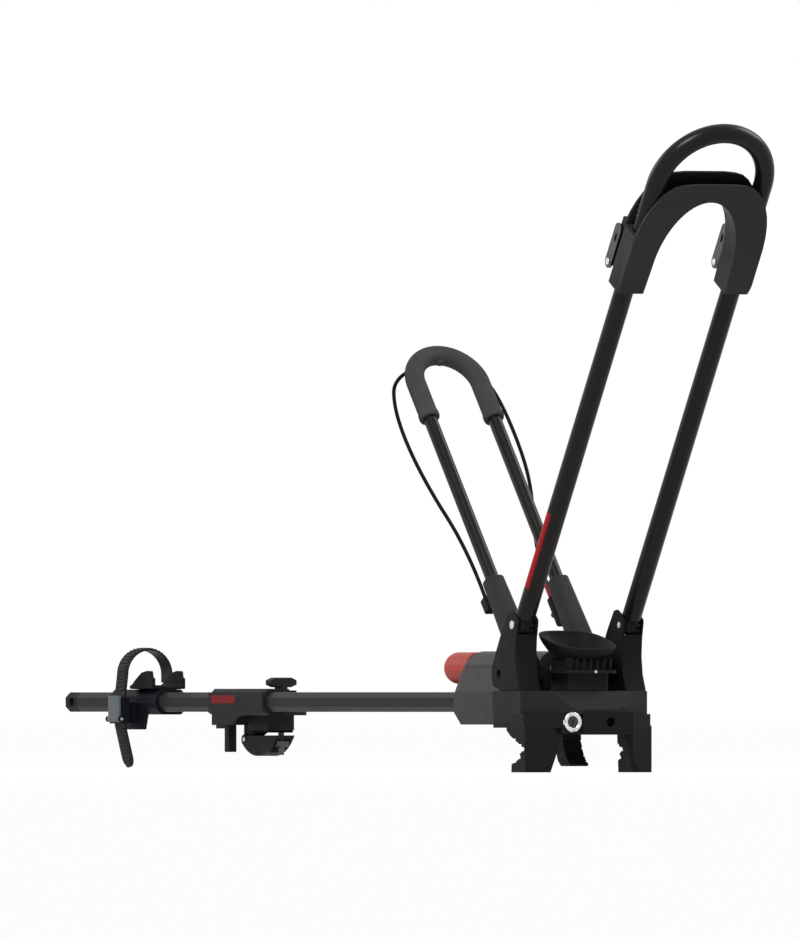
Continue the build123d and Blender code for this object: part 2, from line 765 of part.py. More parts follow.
for side, label in sides:
    with BuildPart() as lever:
        lever_mid = latch_rivet_height + latch_lever_length / 2 - latch_lever_width / 2
        for cheek in (-1, 1):
            cheek_y = side * front_half_span + cheek * (latch_base_width / 2 + side_gap)
            with BuildSketch(side_plane(front_hoop_plane, cheek_y)):
                with Locations((-latch_rivet_behind, lever_mid)):
                    SlotOverall(latch_lever_length, latch_lever_width, rotation=90)
                with Locations((-latch_rivet_behind, lever_mid + latch_slot_length)):
                    SlotOverall(latch_slot_length, latch_slot_width, rotation=90, mode=Mode.SUBTRACT)
                with Locations((-latch_rivet_behind, latch_rivet_height)):
                    Circle(latch_rivet_radius + running_gap, mode=Mode.SUBTRACT)
            extrude(amount=-cheek * latch_lever_plate)
        # Thumb plate that joins the cheeks behind the base
        thumb_behind = latch_base_behind + side_gap + latch_lever_plate
        with BuildSketch(
            cross_plane(front_hoop_plane, lever_mid, side * front_half_span, -thumb_behind)
        ):
            Rectangle(2 * latch_reach, latch_lever_plate)
        extrude(amount=latch_lever_length / 2 - latch_lever_plate)
    finish(lever.part, f"latch_lever_{label}")

# Rear hoop: a thinner bent tube whose ends sit in the boots
with BuildPart() as rear_hoop:
    with BuildLine(rear_hoop_plane) as rear_path:
        Line((-rear_half_span, rear_tube_start), (-rear_half_span, rear_straight))
        ThreePointArc(
            (-rear_half_span, rear_straight), (0, rear_straight + rear_half_span),
            (rear_half_span, rear_straight),
        )
        Line((rear_half_span, rear_straight), (rear_half_span, rear_tube_start))
    with BuildSketch(cross_plane(rear_hoop_plane, rear_tube_start, -rear_half_span)):
        Circle(rear_tube_radius)
        Circle(rear_tube_radius - rear_tube_wall, mode=Mode.SUBTRACT)
    sweep(path=rear_path.wires()[0])
finish(rear_hoop.part, "rear_hoop")

# Rubber grip over the rear hoop's bend
with BuildPart() as hoop_grip:
    with BuildLine(rear_hoop_plane) as grip_path:
        Line((-rear_half_span, grip_start), (-rear_half_span, rear_straight))
        ThreePointArc(
            (-rear_half_span, rear_straight), (0, rear_straight + rear_half_span),
            (rear_half_span, rear_straight),
        )
        Line((rear_half_span, rear_straight), (rear_half_span, grip_start))
    with BuildSketch(cross_plane(rear_hoop_plane, grip_start, -rear_half_span)):
        Circle(grip_radius)
        Circle(rear_tube_radius, mode=Mode.SUBTRACT)
    sweep(path=grip_path.wires()[0])
    for side, label in sides:
        with BuildSketch(cross_plane(rear_hoop_plane, grip_start, side * rear_half_span)):
            Circle(grip_lip_radius)
            Circle(grip_radius - rear_tube_wall, mode=Mode.SUBTRACT)
        extrude(amount=grip_lip_length)
finish(hoop_grip.part, "hoop_grip")

# Boots: the plastic legs that turn on the pivot bolts and hold the tube's ends
boots = {}
for side, label in sides:
    with BuildPart() as boot:
        with BuildSketch(cross_plane(rear_hoop_plane, 0, side * rear_half_span)):
            RectangleRounded(boot_width, boot_depth, boot_corner)
        with BuildSketch(cross_plane(rear_hoop_plane, boot_length, side * rear_half_span)):
            RectangleRounded(boot_top_width, boot_top_depth, boot_corner * 2)
        loft()
        with BuildSketch(side_plane(rear_hoop_plane, side * rear_half_span)):
            Circle(boot_depth / 2)
        extrude(amount=boot_width / 2, both=True)
        with BuildSketch(cross_plane(rear_hoop_plane, rear_tube_start, side * rear_half_span)):
            Circle(rear_tube_radius)
        extrude(amount=boot_length, mode=Mode.SUBTRACT)
        with BuildSketch(side_plane(rear_hoop_plane, side * rear_half_span)):
            Circle(rear_bolt_radius + running_gap)
        extrude(amount=side * boot_width, both=True, mode=Mode.SUBTRACT)
    boots[label] = boot.part
    finish(boot.part, f"boot_{label}")


def cable(route, name):
    """A branch of the lock cable: straight runs joined by the largest tangent arcs that they allow."""
    points = [rear_hoop_plane.from_local_coords(place) for place in route]
    radii = []
    for before, here, after in zip(points, points[1:], points[2:]):
        first, second = here - before, after - here
        turn = math.radians(first.get_angle(second))
        shorter = min(first.length, second.length)
        radii.append(bend_share * shorter / math.tan(turn / 2))
    with BuildPart() as tube:
        with BuildLine() as path:
            FilletPolyline(*points, radius=radii)
        wire = path.wires()[0]
        with BuildSketch(Plane(origin=wire @ 0, z_dir=wire % 0)):
            Circle(cable_radius)
        sweep(path=wire)
    print(name, "radii", [round(radius) for radius in radii], "length", round(wire.length))
    section = math.pi * cable_radius**2
    print(name, "volume over section times length", round(tube.part.volume / section / wire.length, 4))
    finish(tube.part, name)


cable(cable_route_right, "lock_cable_right")
cable(cable_route_left, "lock_cable_left")

# Clip that holds the cable's fixed end behind the right boot
with BuildPart() as cable_clip:
    end_across, end_height, end_ahead = cable_route_right[-1]
    with BuildSketch(cross_plane(rear_hoop_plane, end_height, end_across, end_ahead)):
        RectangleRounded(clip_width, clip_width, rear_tube_wall)
    extrude(amount=-clip_length)
    boot_back = boot_depth / 2
    with BuildSketch(
        cross_plane(rear_hoop_plane, end_height, end_across, (end_ahead - boot_back + overrun / 2) / 2)
    ):
        Rectangle(clip_width / 2, -end_ahead - boot_back + overrun)
    extrude(amount=-clip_length)
    add(boots["right"], mode=Mode.SUBTRACT)
finish(cable_clip.part, "cable_clip")

# Lock body behind the left boot, with the red ferrule that the cable plugs in with
lock_tilt_plane = cross_plane(rear_hoop_plane, lock_body_top, lock_body_across, -lock_body_behind)
button_plane = Plane(
    origin=rear_hoop_plane.from_local_coords(
        (lock_body_across, lock_body_top - button_drop, -lock_body_behind - lock_body_radius)
    ),
    x_dir=rear_hoop_plane.x_dir,
    z_dir=-rear_hoop_plane.z_dir,
)
with BuildPart() as lock_body:
    with BuildSketch(lock_tilt_plane):
        Circle(lock_body_radius)
    extrude(amount=-lock_body_length)
    with BuildSketch(
        cross_plane(
            rear_hoop_plane, lock_body_top, lock_body_across,
            -(lock_body_behind + boot_depth / 2 - overrun / 2) / 2,
        )
    ):
        Rectangle(lock_strap_width, lock_body_behind - boot_depth / 2 + overrun / 2)
    extrude(amount=-lock_body_length)
    with BuildSketch(button_plane.offset(-button_hole_depth)):
        Circle(button_radius + side_gap)
    extrude(amount=button_hole_depth + overrun, mode=Mode.SUBTRACT)
    add(boots["left"], mode=Mode.SUBTRACT)
finish(lock_body.part, "lock_body")

with BuildPart() as lock_button:
    with BuildSketch(button_plane.offset(side_gap + button_travel - button_hole_depth)):
        Circle(button_radius)
    extrude(amount=button_hole_depth - button_travel + button_height)
    fillet(lock_button.edges().group_by(Axis(button_plane.origin, button_plane.z_dir))[-1], button_radius / 2)
finish(lock_button.part, "lock_button")

with BuildPart() as cable_ferrule:
    with BuildSketch(lock_tilt_plane):
        Circle(ferrule_radius)
    extrude(amount=ferrule_length)
finish(cable_ferrule.part, "cable_ferrule")

# Clamp housing behind the head: a keyhole section round the screw and the rail
housing_side_shares = (
    (0.102, 0.0), (1.0, 0.0), (1.0, 1.0), (0.165, 1.0), (0.08, 0.775), (0.03, 0.45), (0.0, 0.20),
)
housing_top_z = screw_z + housing_radius


def housing_section(shrink):
    """The keyhole outline: a round top on a wider foot."""
    low = housing_low_z + shrink
    half = housing_half_width - shrink
    with Locations((0, screw_z)):
        Circle(housing_radius - shrink)
    shoulder_z = rail_top_z + slide_gap + 2 * shrink
    Polygon(
        (-half, low), (half, low), (half, shoulder_z), (housing_radius - shrink, screw_z),
        (shrink - housing_radius, screw_z), (-half, shoulder_z), align=None,
    )


with BuildPart() as clamp_housing:
    with BuildSketch(Plane.YZ.offset(housing_front_x - housing_length)):
        housing_section(0)
    extrude(amount=housing_length)
    with BuildSketch(Plane.XZ):
        Polygon(
            *spread(
                housing_side_shares, housing_front_x - housing_length, housing_low_z, housing_length,
                housing_top_z - housing_low_z,
            ),
            align=None,
        )
    extrude(amount=housing_half_width + overrun, both=True, mode=Mode.INTERSECT)
    cavity_rear_x = knob_face_x + housing_wall + side_gap
    with BuildSketch(Plane.YZ.offset(cavity_rear_x)):
        housing_section(housing_wall)
    extrude(amount=housing_front_x - housing_wall - cavity_rear_x, mode=Mode.SUBTRACT)
    # Opening in the front wall, where the tongue goes through
    with BuildSketch(Plane.YZ.offset(housing_front_x - 2 * housing_wall)):
        with Locations((0, (housing_low_z - overrun + rail_low_z) / 2)):
            Rectangle(2 * (jaw_half_width + jaw_slot_gap), rail_low_z - housing_low_z + overrun)
    extrude(amount=overrun + housing_wall, mode=Mode.SUBTRACT)
    # The rail goes right through
    with BuildSketch(Plane.YZ.offset(housing_front_x - housing_length - overrun)):
        rail_section(side_gap / 2)
    extrude(amount=housing_length + 2 * overrun, mode=Mode.SUBTRACT)
    # Recess for the knob, and the screw's bearings in both end walls
    with BuildSketch(Plane.YZ.offset(knob_face_x)):
        with Locations((0, screw_z)):
            Circle(housing_radius + slide_gap)
    extrude(amount=-housing_length, mode=Mode.SUBTRACT)
    with BuildSketch(Plane.YZ.offset(knob_face_x - overrun)):
        with Locations((0, screw_z)):
            Circle(screw_radius + running_gap)
    extrude(amount=housing_length, mode=Mode.SUBTRACT)
    # Slot in the floor for the jaw's travel
    with BuildSketch(Plane.XY.offset(housing_low_z - overrun)):
        jaw_far_x = jaw_rear_x - jaw_travel - jaw_slot_gap
        with Locations(((jaw_far_x + housing_front_x + overrun) / 2, 0)):
            Rectangle(housing_front_x + overrun - jaw_far_x, 2 * (jaw_half_width + jaw_slot_gap))
    extrude(amount=overrun + 2 * housing_wall, mode=Mode.SUBTRACT)
finish(clamp_housing.part, "clamp_housing")

# Clamp screw and the red knob pressed on it
with BuildPart() as clamp_screw:
    with BuildSketch(Plane.YZ.offset(screw_front_x)):
        with Locations((0, screw_z)):
            Circle(screw_radius)
    extrude(amount=knob_ball_x - screw_front_x)
finish(clamp_screw.part, "clamp_screw")

with BuildPart() as clamp_knob:
    with BuildSketch(Plane.YZ.offset(knob_ball_x)):
        with Locations((0, screw_z)):
            Circle(knob_radius)
            with PolarLocations(knob_radius + knob_groove_radius / 2, knob_grooves):
                Circle(knob_groove_radius, mode=Mode.SUBTRACT)
    extrude(amount=knob_face_x - side_gap - knob_ball_x)
    with Locations((knob_ball_x, 0, screw_z)):
        Sphere(knob_radius - knob_groove_radius / 2)
    with BuildSketch(Plane.YZ.offset(knob_ball_x)):
        with Locations((0, screw_z)):
            Circle(screw_radius)
    extrude(amount=knob_face_x - knob_ball_x + overrun, mode=Mode.SUBTRACT)
finish(clamp_knob.part, "clamp_knob")

# Carriage: the nut on the screw, with arms down both sides of the rail to a tongue
with BuildPart() as jaw_carriage:
    with BuildSketch(Plane.YZ.offset(nut_front_x - nut_length)):
        with Locations((0, screw_z)):
            Circle(nut_half_width)
        arm_outer_y = arm_inner_y + arm_thickness
        bridge_low_z = rail_top_z + housing_wall
        with Locations((0, (bridge_low_z + screw_z) / 2)):
            Rectangle(2 * nut_half_width, screw_z - bridge_low_z)
        with Locations((0, bridge_low_z + arm_thickness / 2)):
            Rectangle(2 * arm_outer_y, arm_thickness)
        for side, label in sides:
            arm_height = bridge_low_z + arm_thickness - tongue_low_z
            with Locations((side * (arm_inner_y + arm_thickness / 2), tongue_low_z + arm_height / 2)):
                Rectangle(arm_thickness, arm_height)
        with Locations((0, (tongue_low_z + tongue_top_z) / 2)):
            Rectangle(2 * arm_outer_y, tongue_top_z - tongue_low_z)
        with Locations((0, screw_z)):
            Circle(screw_radius + running_gap, mode=Mode.SUBTRACT)
    extrude(amount=nut_length)
    with BuildSketch(Plane.YZ.offset(nut_front_x)):
        with Locations((0, (tongue_low_z + tongue_top_z) / 2)):
            Rectangle(2 * jaw_half_width, tongue_top_z - tongue_low_z)
    extrude(amount=jaw_rear_x - nut_front_x)
finish(jaw_carriage.part, "jaw_carriage")

# Centre jaw, hooked to the front, ribbed on its face
jaw_shares = (
    (0.0, 1.0), (0.0, 0.78), (0.20, 0.34), (0.33, 0.10), (0.50, 0.0), (0.97, 0.0), (1.0, 0.04),
    (0.86, 0.12), (0.72, 0.26), (0.63, 0.42), (0.60, 0.60), (0.60, 1.0),
)
jaw_rib_shares = ((0.905, 0.09), (0.765, 0.19), (0.665, 0.335), (0.61, 0.47))
with BuildPart() as centre_jaw:
    with BuildSketch(Plane.XZ):
        Polygon(
            *spread(jaw_shares, jaw_rear_x, jaw_low_z, jaw_front_x - jaw_rear_x, tongue_top_z - jaw_low_z),
            align=None,
        )
        places = spread(
            jaw_rib_shares, jaw_rear_x, jaw_low_z, jaw_front_x - jaw_rear_x, tongue_top_z - jaw_low_z
        )
        with Locations(*places):
            Circle(jaw_rib_depth, mode=Mode.SUBTRACT)
    extrude(amount=jaw_half_width, both=True)
finish(centre_jaw.part, "centre_jaw")

# Wheel cradle: a tilted dish on a ribbed foot
cradle_length = cradle_front_x - cradle_rear_x
rim_drop = cradle_rear_z - cradle_front_z
rim_plane = Plane(
    origin=((cradle_rear_x + cradle_front_x) / 2, 0, (cradle_rear_z + cradle_front_z) / 2),
    x_dir=(cradle_length, 0, -rim_drop),
    z_dir=(rim_drop, 0, cradle_length),
)
rim_length = math.hypot(cradle_length, rim_drop)


def dish(levels, rise):
    """A lofted bowl; each level has its shares of the depth, the length, the width and the corner."""
    with BuildPart(mode=Mode.PRIVATE) as body:
        for depth, length, width, corner in levels:
            with BuildSketch(rim_plane.offset(rise - cradle_depth * depth)):
                RectangleRounded(
                    rim_length * length, 2 * cradle_half_width * width, cradle_half_width * corner
                )
        loft()
    return body.part


dish_outside = dish(dish_outer_shares, 0)
dish_inside = dish(dish_inner_shares, cradle_wall)
with BuildPart() as wheel_cradle:
    add(dish_outside)
    add(dish_inside, mode=Mode.SUBTRACT)
finish(wheel_cradle.part, "wheel_cradle")

# Foot of the cradle: a ribbed block with a shelf, on the head cover
with BuildPart() as cradle_foot:
    foot_length = cradle_foot_front_x - cradle_foot_rear_x
    with BuildSketch(Plane.XY.offset(cover_top_z)):
        with Locations(((cradle_foot_rear_x + cradle_foot_front_x) / 2, 0)):
            RectangleRounded(foot_length, 2 * cradle_foot_half_width, 2 * cradle_wall)
    extrude(amount=cradle_front_z - cover_top_z)
    with BuildSketch(Plane.XY.offset(shelf_top_z - shelf_thickness)):
        with Locations(((cradle_foot_rear_x + shelf_front_x) / 2, 0)):
            RectangleRounded(shelf_front_x - cradle_foot_rear_x, 2 * shelf_half_width, 4 * cradle_wall)
    extrude(amount=shelf_thickness)
    for place in range(cradle_rib_count):
        rib_y = shelf_half_width * (2 * place / (cradle_rib_count - 1) - 1) * cradle_rib_spread_share
        with BuildSketch(Plane.XY.offset(shelf_top_z)):
            with Locations((cradle_foot_front_x + cradle_rib_depth / 2 - cradle_wall, rib_y)):
                Rectangle(cradle_rib_depth + 2 * cradle_wall, cradle_rib_width)
        extrude(amount=cradle_front_z - shelf_top_z)
    # Everything above the dish's underside goes
    add(dish_outside, mode=Mode.SUBTRACT)
    with BuildSketch(rim_plane.offset(-cradle_depth / 2)):
        Rectangle(4 * cradle_length, 4 * cradle_half_width)
    extrude(amount=cradle_length, mode=Mode.SUBTRACT)
    with BuildSketch(Plane.YZ.offset(shelf_front_x)):
        with Locations((shelf_screw_y, shelf_top_z - shelf_thickness / 2)):
            Circle(shelf_screw_radius / 2)
    extrude(amount=-shelf_screw_length, mode=Mode.SUBTRACT)
finish(cradle_foot.part, "cradle_foot")

with BuildPart() as cradle_screw:
    with BuildSketch(Plane.YZ.offset(shelf_front_x)):
        with Locations((shelf_screw_y, shelf_top_z - shelf_thickness / 2)):
            Circle(shelf_screw_radius)
    extrude(amount=shelf_screw_radius / 2)
    with BuildSketch(Plane.YZ.offset(shelf_front_x)):
        with Locations((shelf_screw_y, shelf_top_z - shelf_thickness / 2)):
            Circle(shelf_screw_radius / 2)
    extrude(amount=-shelf_screw_length)
finish(cradle_screw.part, "cradle_screw")

# Front block between the claws
with BuildPart() as front_block:
    with BuildSketch(Plane.YZ.offset(block_rear_x)):
        with Locations(((block_right_y + block_left_y) / 2, (block_low_z + block_top_z) / 2)):
            Rectangle(block_left_y - block_right_y, block_top_z - block_low_z)
    extrude(amount=block_front_x - block_rear_x)
    chamfer(front_block.faces().sort_by(Axis.X)[-1].edges(), block_edge)
    with BuildSketch(Plane.YZ.offset(block_front_x)):
        with Locations((block_hole_y, block_hole_z)):
            Circle(block_hole_radius)
    extrude(amount=-block_hole_depth, mode=Mode.SUBTRACT)
finish(front_block.part, "front_block")

# Lock on the front face: a notched ring round a core that turns
with BuildPart() as lock_ring:
    with BuildSketch(Plane.YZ.offset(head_front_x - lock_ring_depth)):
        with Locations((lock_y, lock_z)):
            Circle(lock_ring_radius)
            Circle(lock_ring_bore, mode=Mode.SUBTRACT)
    extrude(amount=lock_ring_depth + lock_ring_proud)
    chamfer(lock_ring.faces().sort_by(Axis.X)[-1].edges(), lock_ring_proud / 4)
    with BuildSketch(Plane.YZ.offset(head_front_x + lock_ring_proud)):
        with Locations((lock_y, lock_z)):
            with PolarLocations(lock_ring_radius, 2, start_angle=180, angular_range=90, endpoint=True):
                Circle(lock_notch)
    extrude(amount=-lock_ring_proud, mode=Mode.SUBTRACT)
finish(lock_ring.part, "lock_ring")

with BuildPart() as lock_core:
    with BuildSketch(Plane.YZ.offset(head_front_x - lock_ring_depth)):
        with Locations((lock_y, lock_z)):
            Circle(lock_ring_bore - running_gap)
    extrude(amount=lock_ring_depth + lock_core_proud)
    with BuildSketch(Plane.YZ.offset(head_front_x + lock_core_proud)):
        with Locations((lock_y, lock_z)):
            Rectangle(keyway_width, keyway_height)
    extrude(amount=-keyway_depth, mode=Mode.SUBTRACT)
finish(lock_core.part, "lock_core")

# Rear crossbar clamp: a sleeve on the rail, with a wing to the left that carries the bolt
clamp_length = clamp_front_x - clamp_rear_x
sleeve_outer_y = rail_width / 2 + clamp_wall
sleeve_top_z = rail_top_z + clamp_wall
clamp_flare_shares = (
    (0.0, 1.0), (1.0, 1.0), (1.0, 0.42), (0.86, 0.36), (0.70, 0.36), (0.52, 0.24), (0.42, 0.0),
    (0.20, 0.0), (0.12, 0.26), (0.0, 0.38),
)
with BuildPart() as clamp_sleeve:
    with BuildSketch(Plane.YZ.offset(clamp_rear_x)):
        rail_section(clamp_wall)
    extrude(amount=clamp_length)
    # Flared right cheek
    with BuildSketch(Plane.XZ.offset(sleeve_outer_y - clamp_wall + slide_gap)):
        Polygon(
            *spread(
                clamp_flare_shares, clamp_rear_x, clamp_flare_low_z, clamp_length,
                rail_top_z - clamp_flare_low_z,
            ),
            align=None,
        )
    extrude(amount=clamp_wall)
    # Wing under and beside the rail that the bolt goes through
    with BuildSketch(Plane.XY.offset(clamp_block_top_z)):
        wing_length = clamp_front_x - clamp_block_rear_x
        with Locations(((clamp_block_rear_x + clamp_front_x) / 2, clamp_left_y / 2)):
            Rectangle(wing_length, clamp_left_y)
            fillet(vertices().group_by(Axis.Y)[-1], 2 * clamp_wall)
    extrude(amount=sleeve_top_z - clamp_block_top_z - clamp_wall)
    # Bridge from the flared cheek to the hinge of the lower jaw
    with BuildSketch(Plane.XY.offset(clamp_flare_low_z)):
        bridge_front_x = lower_jaw_rear_x + 4 * clamp_wall
        Polygon(
            (bridge_front_x, -sleeve_outer_y), (bridge_front_x, lower_jaw_left_y),
            (post_rear_x, lower_jaw_left_y), (post_rear_x, post_right_y - clamp_wall),
            (clamp_rear_x + 2 * clamp_wall, -sleeve_outer_y), align=None,
        )
    extrude(amount=rail_low_z - clamp_flare_low_z)
    with BuildSketch(Plane.YZ.offset(clamp_rear_x - overrun)):
        rail_section(slide_gap)
    extrude(amount=clamp_length + 2 * overrun, mode=Mode.SUBTRACT)
    with BuildSketch(Plane.XY.offset(sleeve_top_z + overrun)):
        with Locations((clamp_bolt_x, clamp_bolt_y)):
            Circle(clamp_bolt_radius + running_gap)
    extrude(amount=-head_half_width, mode=Mode.SUBTRACT)
finish(clamp_sleeve.part, "clamp_sleeve")

# Upper jaw of the clamp: a block with an arm back to the hinge
pocket_right_y = lower_jaw_right_y + lower_jaw_wall
pocket_left_y = lower_jaw_left_y - lower_jaw_wall
block_centre = (
    (clamp_block_rear_x + clamp_block_front_x) / 2, (clamp_block_right_y + clamp_left_y) / 2
)
with BuildPart() as upper_jaw:
    with BuildSketch(Plane.XY.offset(clamp_pad_thickness)):
        with Locations(block_centre):
            Rectangle(clamp_block_front_x - clamp_block_rear_x, clamp_left_y - clamp_block_right_y)
            fillet(vertices().group_by(Axis.X)[-1], clamp_wall)
    extrude(amount=clamp_block_top_z - clamp_pad_thickness)
    with BuildSketch(Plane.XZ.offset(-pocket_right_y - side_gap)):
        arm_points = [
            (jaw_pin_x - jaw_eye_radius, jaw_pin_z), (jaw_pin_x - jaw_eye_radius, clamp_flare_low_z),
            (clamp_block_rear_x, clamp_block_top_z), (clamp_block_rear_x, clamp_pad_thickness),
            (jaw_pin_x + 2 * jaw_eye_radius, lower_jaw_top_z), (jaw_pin_x, jaw_pin_z - jaw_eye_radius),
        ]
        Polygon(*arm_points, align=None)
        with Locations((jaw_pin_x, jaw_pin_z)):
            Circle(jaw_eye_radius)
            Circle(jaw_pin_radius, mode=Mode.SUBTRACT)
    extrude(amount=-(pocket_left_y - pocket_right_y - 2 * side_gap))
    with BuildSketch(Plane.XY.offset(clamp_block_top_z + overrun)):
        with Locations((clamp_bolt_x, clamp_bolt_y)):
            Circle(clamp_bolt_radius + running_gap)
    extrude(amount=-head_half_width, mode=Mode.SUBTRACT)
    with BuildSketch(Plane.XY.offset(clamp_flare_low_z)):
        with Locations((bridge_front_x - head_half_width, 0)):
            Rectangle(2 * head_half_width, 4 * head_half_width)
    extrude(amount=clamp_block_top_z, mode=Mode.SUBTRACT)
finish(upper_jaw.part, "clamp_upper_jaw")

with BuildPart() as clamp_pad:
    pad_inset = clamp_wall / 2
    with BuildSketch(Plane.XY):
        with Locations(block_centre):
            Rectangle(
                clamp_block_front_x - clamp_block_rear_x - 2 * pad_inset,
                clamp_left_y - clamp_block_right_y - 2 * pad_inset,
            )
        with Locations((clamp_bolt_x, clamp_bolt_y)):
            Circle(clamp_bolt_radius + side_gap, mode=Mode.SUBTRACT)
    extrude(amount=clamp_pad_thickness)
finish(clamp_pad.part, "clamp_seat_pad")

# Post and flange at the clamp's rear
with BuildPart() as clamp_post:
    with BuildSketch(Plane.XZ.offset(-post_right_y)):
        Polygon(
            (post_rear_x, post_low_z), (post_front_x, post_low_z), (post_front_x, clamp_flare_low_z),
            (post_rear_x - post_flange, clamp_flare_low_z),
            (post_rear_x - post_flange, clamp_flare_low_z - clamp_wall),
            (post_rear_x, clamp_flare_low_z - clamp_wall), align=None,
        )
    extrude(amount=-(post_left_y - post_right_y))
    fillet(clamp_post.edges().filter_by(Axis.Y).group_by(Axis.Z)[0], clamp_wall / 3)
finish(clamp_post.part, "clamp_post")

# Washer plate, bolt and T-knob
with BuildPart() as knob_washer:
    with BuildSketch(Plane.XY.offset(rail_top_z)):
        with Locations((clamp_bolt_x + washer_half_length / 2, clamp_bolt_y)):
            SlotOverall(2 * washer_half_length, 2 * washer_radius)
        with Locations((clamp_bolt_x, clamp_bolt_y)):
            Circle(clamp_bolt_radius + running_gap, mode=Mode.SUBTRACT)
    extrude(amount=washer_thickness)
finish(knob_washer.part, "knob_washer")

tknob_low_z = rail_top_z + washer_thickness + tknob_lift
knob_shares = (
    (0.0, 0.42), (0.22, 0.22), (0.78, 0.22), (1.0, 0.42), (1.0, 0.78), (0.80, 1.0), (0.20, 1.0), (0.0, 0.78),
)
with BuildPart() as clamp_bolt:
    with BuildSketch(Plane.XY.offset(clamp_bolt_low_z)):
        with Locations((clamp_bolt_x, clamp_bolt_y)):
            Circle(clamp_bolt_radius)
    extrude(amount=tknob_low_z + tknob_height / 2 - clamp_bolt_low_z)
finish(clamp_bolt.part, "clamp_bolt")

with BuildPart() as t_knob:
    with BuildSketch(Plane.XY.offset(tknob_low_z)):
        with Locations((clamp_bolt_x, clamp_bolt_y)):
            Circle(tknob_hub_radius)
    extrude(amount=tknob_height / 2)
    with BuildSketch(Plane.YZ.offset(clamp_bolt_x - tknob_width / 2)):
        Polygon(
            *spread(
                knob_shares, clamp_bolt_y - tknob_half_length, tknob_low_z, 2 * tknob_half_length, tknob_height
            ),
            align=None,
        )
    extrude(amount=tknob_width)
    fillet(t_knob.edges().group_by(Axis.Z)[-1], tknob_lift * 4)
    with BuildSketch(Plane.XY.offset(tknob_low_z)):
        with Locations((clamp_bolt_x, clamp_bolt_y)):
            Circle(clamp_bolt_radius)
    extrude(amount=tknob_height / 2, mode=Mode.SUBTRACT)
finish(t_knob.part, "t_knob")

# Barrel nut under the lower jaw's top plate
nut_barrel_z = lower_jaw_top_z - lower_jaw_wall - side_gap - nut_barrel_radius
with BuildPart() as barrel_nut:
    with BuildSketch(Plane.XZ.offset(-clamp_bolt_y)):
        with Locations((clamp_bolt_x, nut_barrel_z)):
            Circle(nut_barrel_radius)
    extrude(amount=nut_barrel_length / 2, both=True)
    with BuildSketch(Plane.XY.offset(lower_jaw_top_z)):
        with Locations((clamp_bolt_x, clamp_bolt_y)):
            Circle(clamp_bolt_radius + running_gap)
    extrude(amount=-head_half_width, mode=Mode.SUBTRACT)
finish(barrel_nut.part, "barrel_nut")

# Lower jaw: a crescent that hinges at its rear
with BuildPart() as lower_jaw:
    with BuildSketch(Plane.XZ.offset(-lower_jaw_right_y)):
        with BuildLine():
            rear_point = (jaw_pin_x - jaw_eye_radius + side_gap, jaw_pin_z - jaw_eye_radius / 2)
            front_point = (lower_jaw_front_x, lower_jaw_top_z)
            belly_point = (jaw_pocket_rear_x - 2 * jaw_eye_radius, lower_jaw_low_z)
            ThreePointArc(rear_point, belly_point, front_point)
            Polyline(front_point, (jaw_pin_x + jaw_eye_radius, lower_jaw_top_z), rear_point)
        make_face()
        with Locations((jaw_pin_x, jaw_pin_z)):
            Circle(jaw_eye_radius - side_gap)
    extrude(amount=-(lower_jaw_left_y - lower_jaw_right_y))
    # Room for the hinge arm
    with BuildSketch(Plane.XZ.offset(-pocket_right_y)):
        with Locations((jaw_pin_x, jaw_pin_z)):
            Circle(jaw_eye_radius + 2 * slide_gap)
        room_front_x = clamp_block_rear_x + clamp_wall
        Polygon(
            (jaw_pin_x - 2 * jaw_eye_radius, jaw_pin_z), (jaw_pin_x - 2 * jaw_eye_radius, clamp_block_top_z),
            (room_front_x, clamp_block_top_z), (room_front_x, lower_jaw_top_z - clamp_wall),
            (jaw_pin_x, jaw_pin_z - jaw_eye_radius - 2 * slide_gap), align=None,
        )
    extrude(amount=-(pocket_left_y - pocket_right_y), mode=Mode.SUBTRACT)
    # Pocket under the top plate for the barrel nut, open below, and the bolt's slot
    with BuildSketch(Plane.XZ.offset(-pocket_right_y)):
        pocket_top_z = lower_jaw_top_z - lower_jaw_wall
        Polygon(
            (jaw_pocket_rear_x, pocket_top_z), (jaw_pocket_front_x, pocket_top_z),
            (jaw_pocket_front_x, lower_jaw_low_z - overrun), (jaw_pocket_rear_x, lower_jaw_low_z - overrun),
            align=None,
        )
    extrude(amount=-(pocket_left_y - pocket_right_y), mode=Mode.SUBTRACT)
    with BuildSketch(Plane.XY.offset(lower_jaw_top_z + overrun)):
        with Locations((clamp_bolt_x, clamp_bolt_y)):
            SlotOverall(jaw_slot_length, 2 * clamp_bolt_radius + 3 * side_gap)
    extrude(amount=-2 * overrun - lower_jaw_wall, mode=Mode.SUBTRACT)
    with BuildSketch(Plane.XZ):
        with Locations((jaw_pin_x, jaw_pin_z)):
            Circle(jaw_pin_radius + running_gap)
    extrude(amount=-head_half_width, mode=Mode.SUBTRACT)
finish(lower_jaw.part, "clamp_lower_jaw")

with BuildPart() as jaw_pin:
    with BuildSketch(Plane.XZ.offset(-lower_jaw_right_y)):
        with Locations((jaw_pin_x, jaw_pin_z)):
            Circle(jaw_pin_radius)
    extrude(amount=-(lower_jaw_left_y - lower_jaw_right_y))
finish(jaw_pin.part, "jaw_pin")

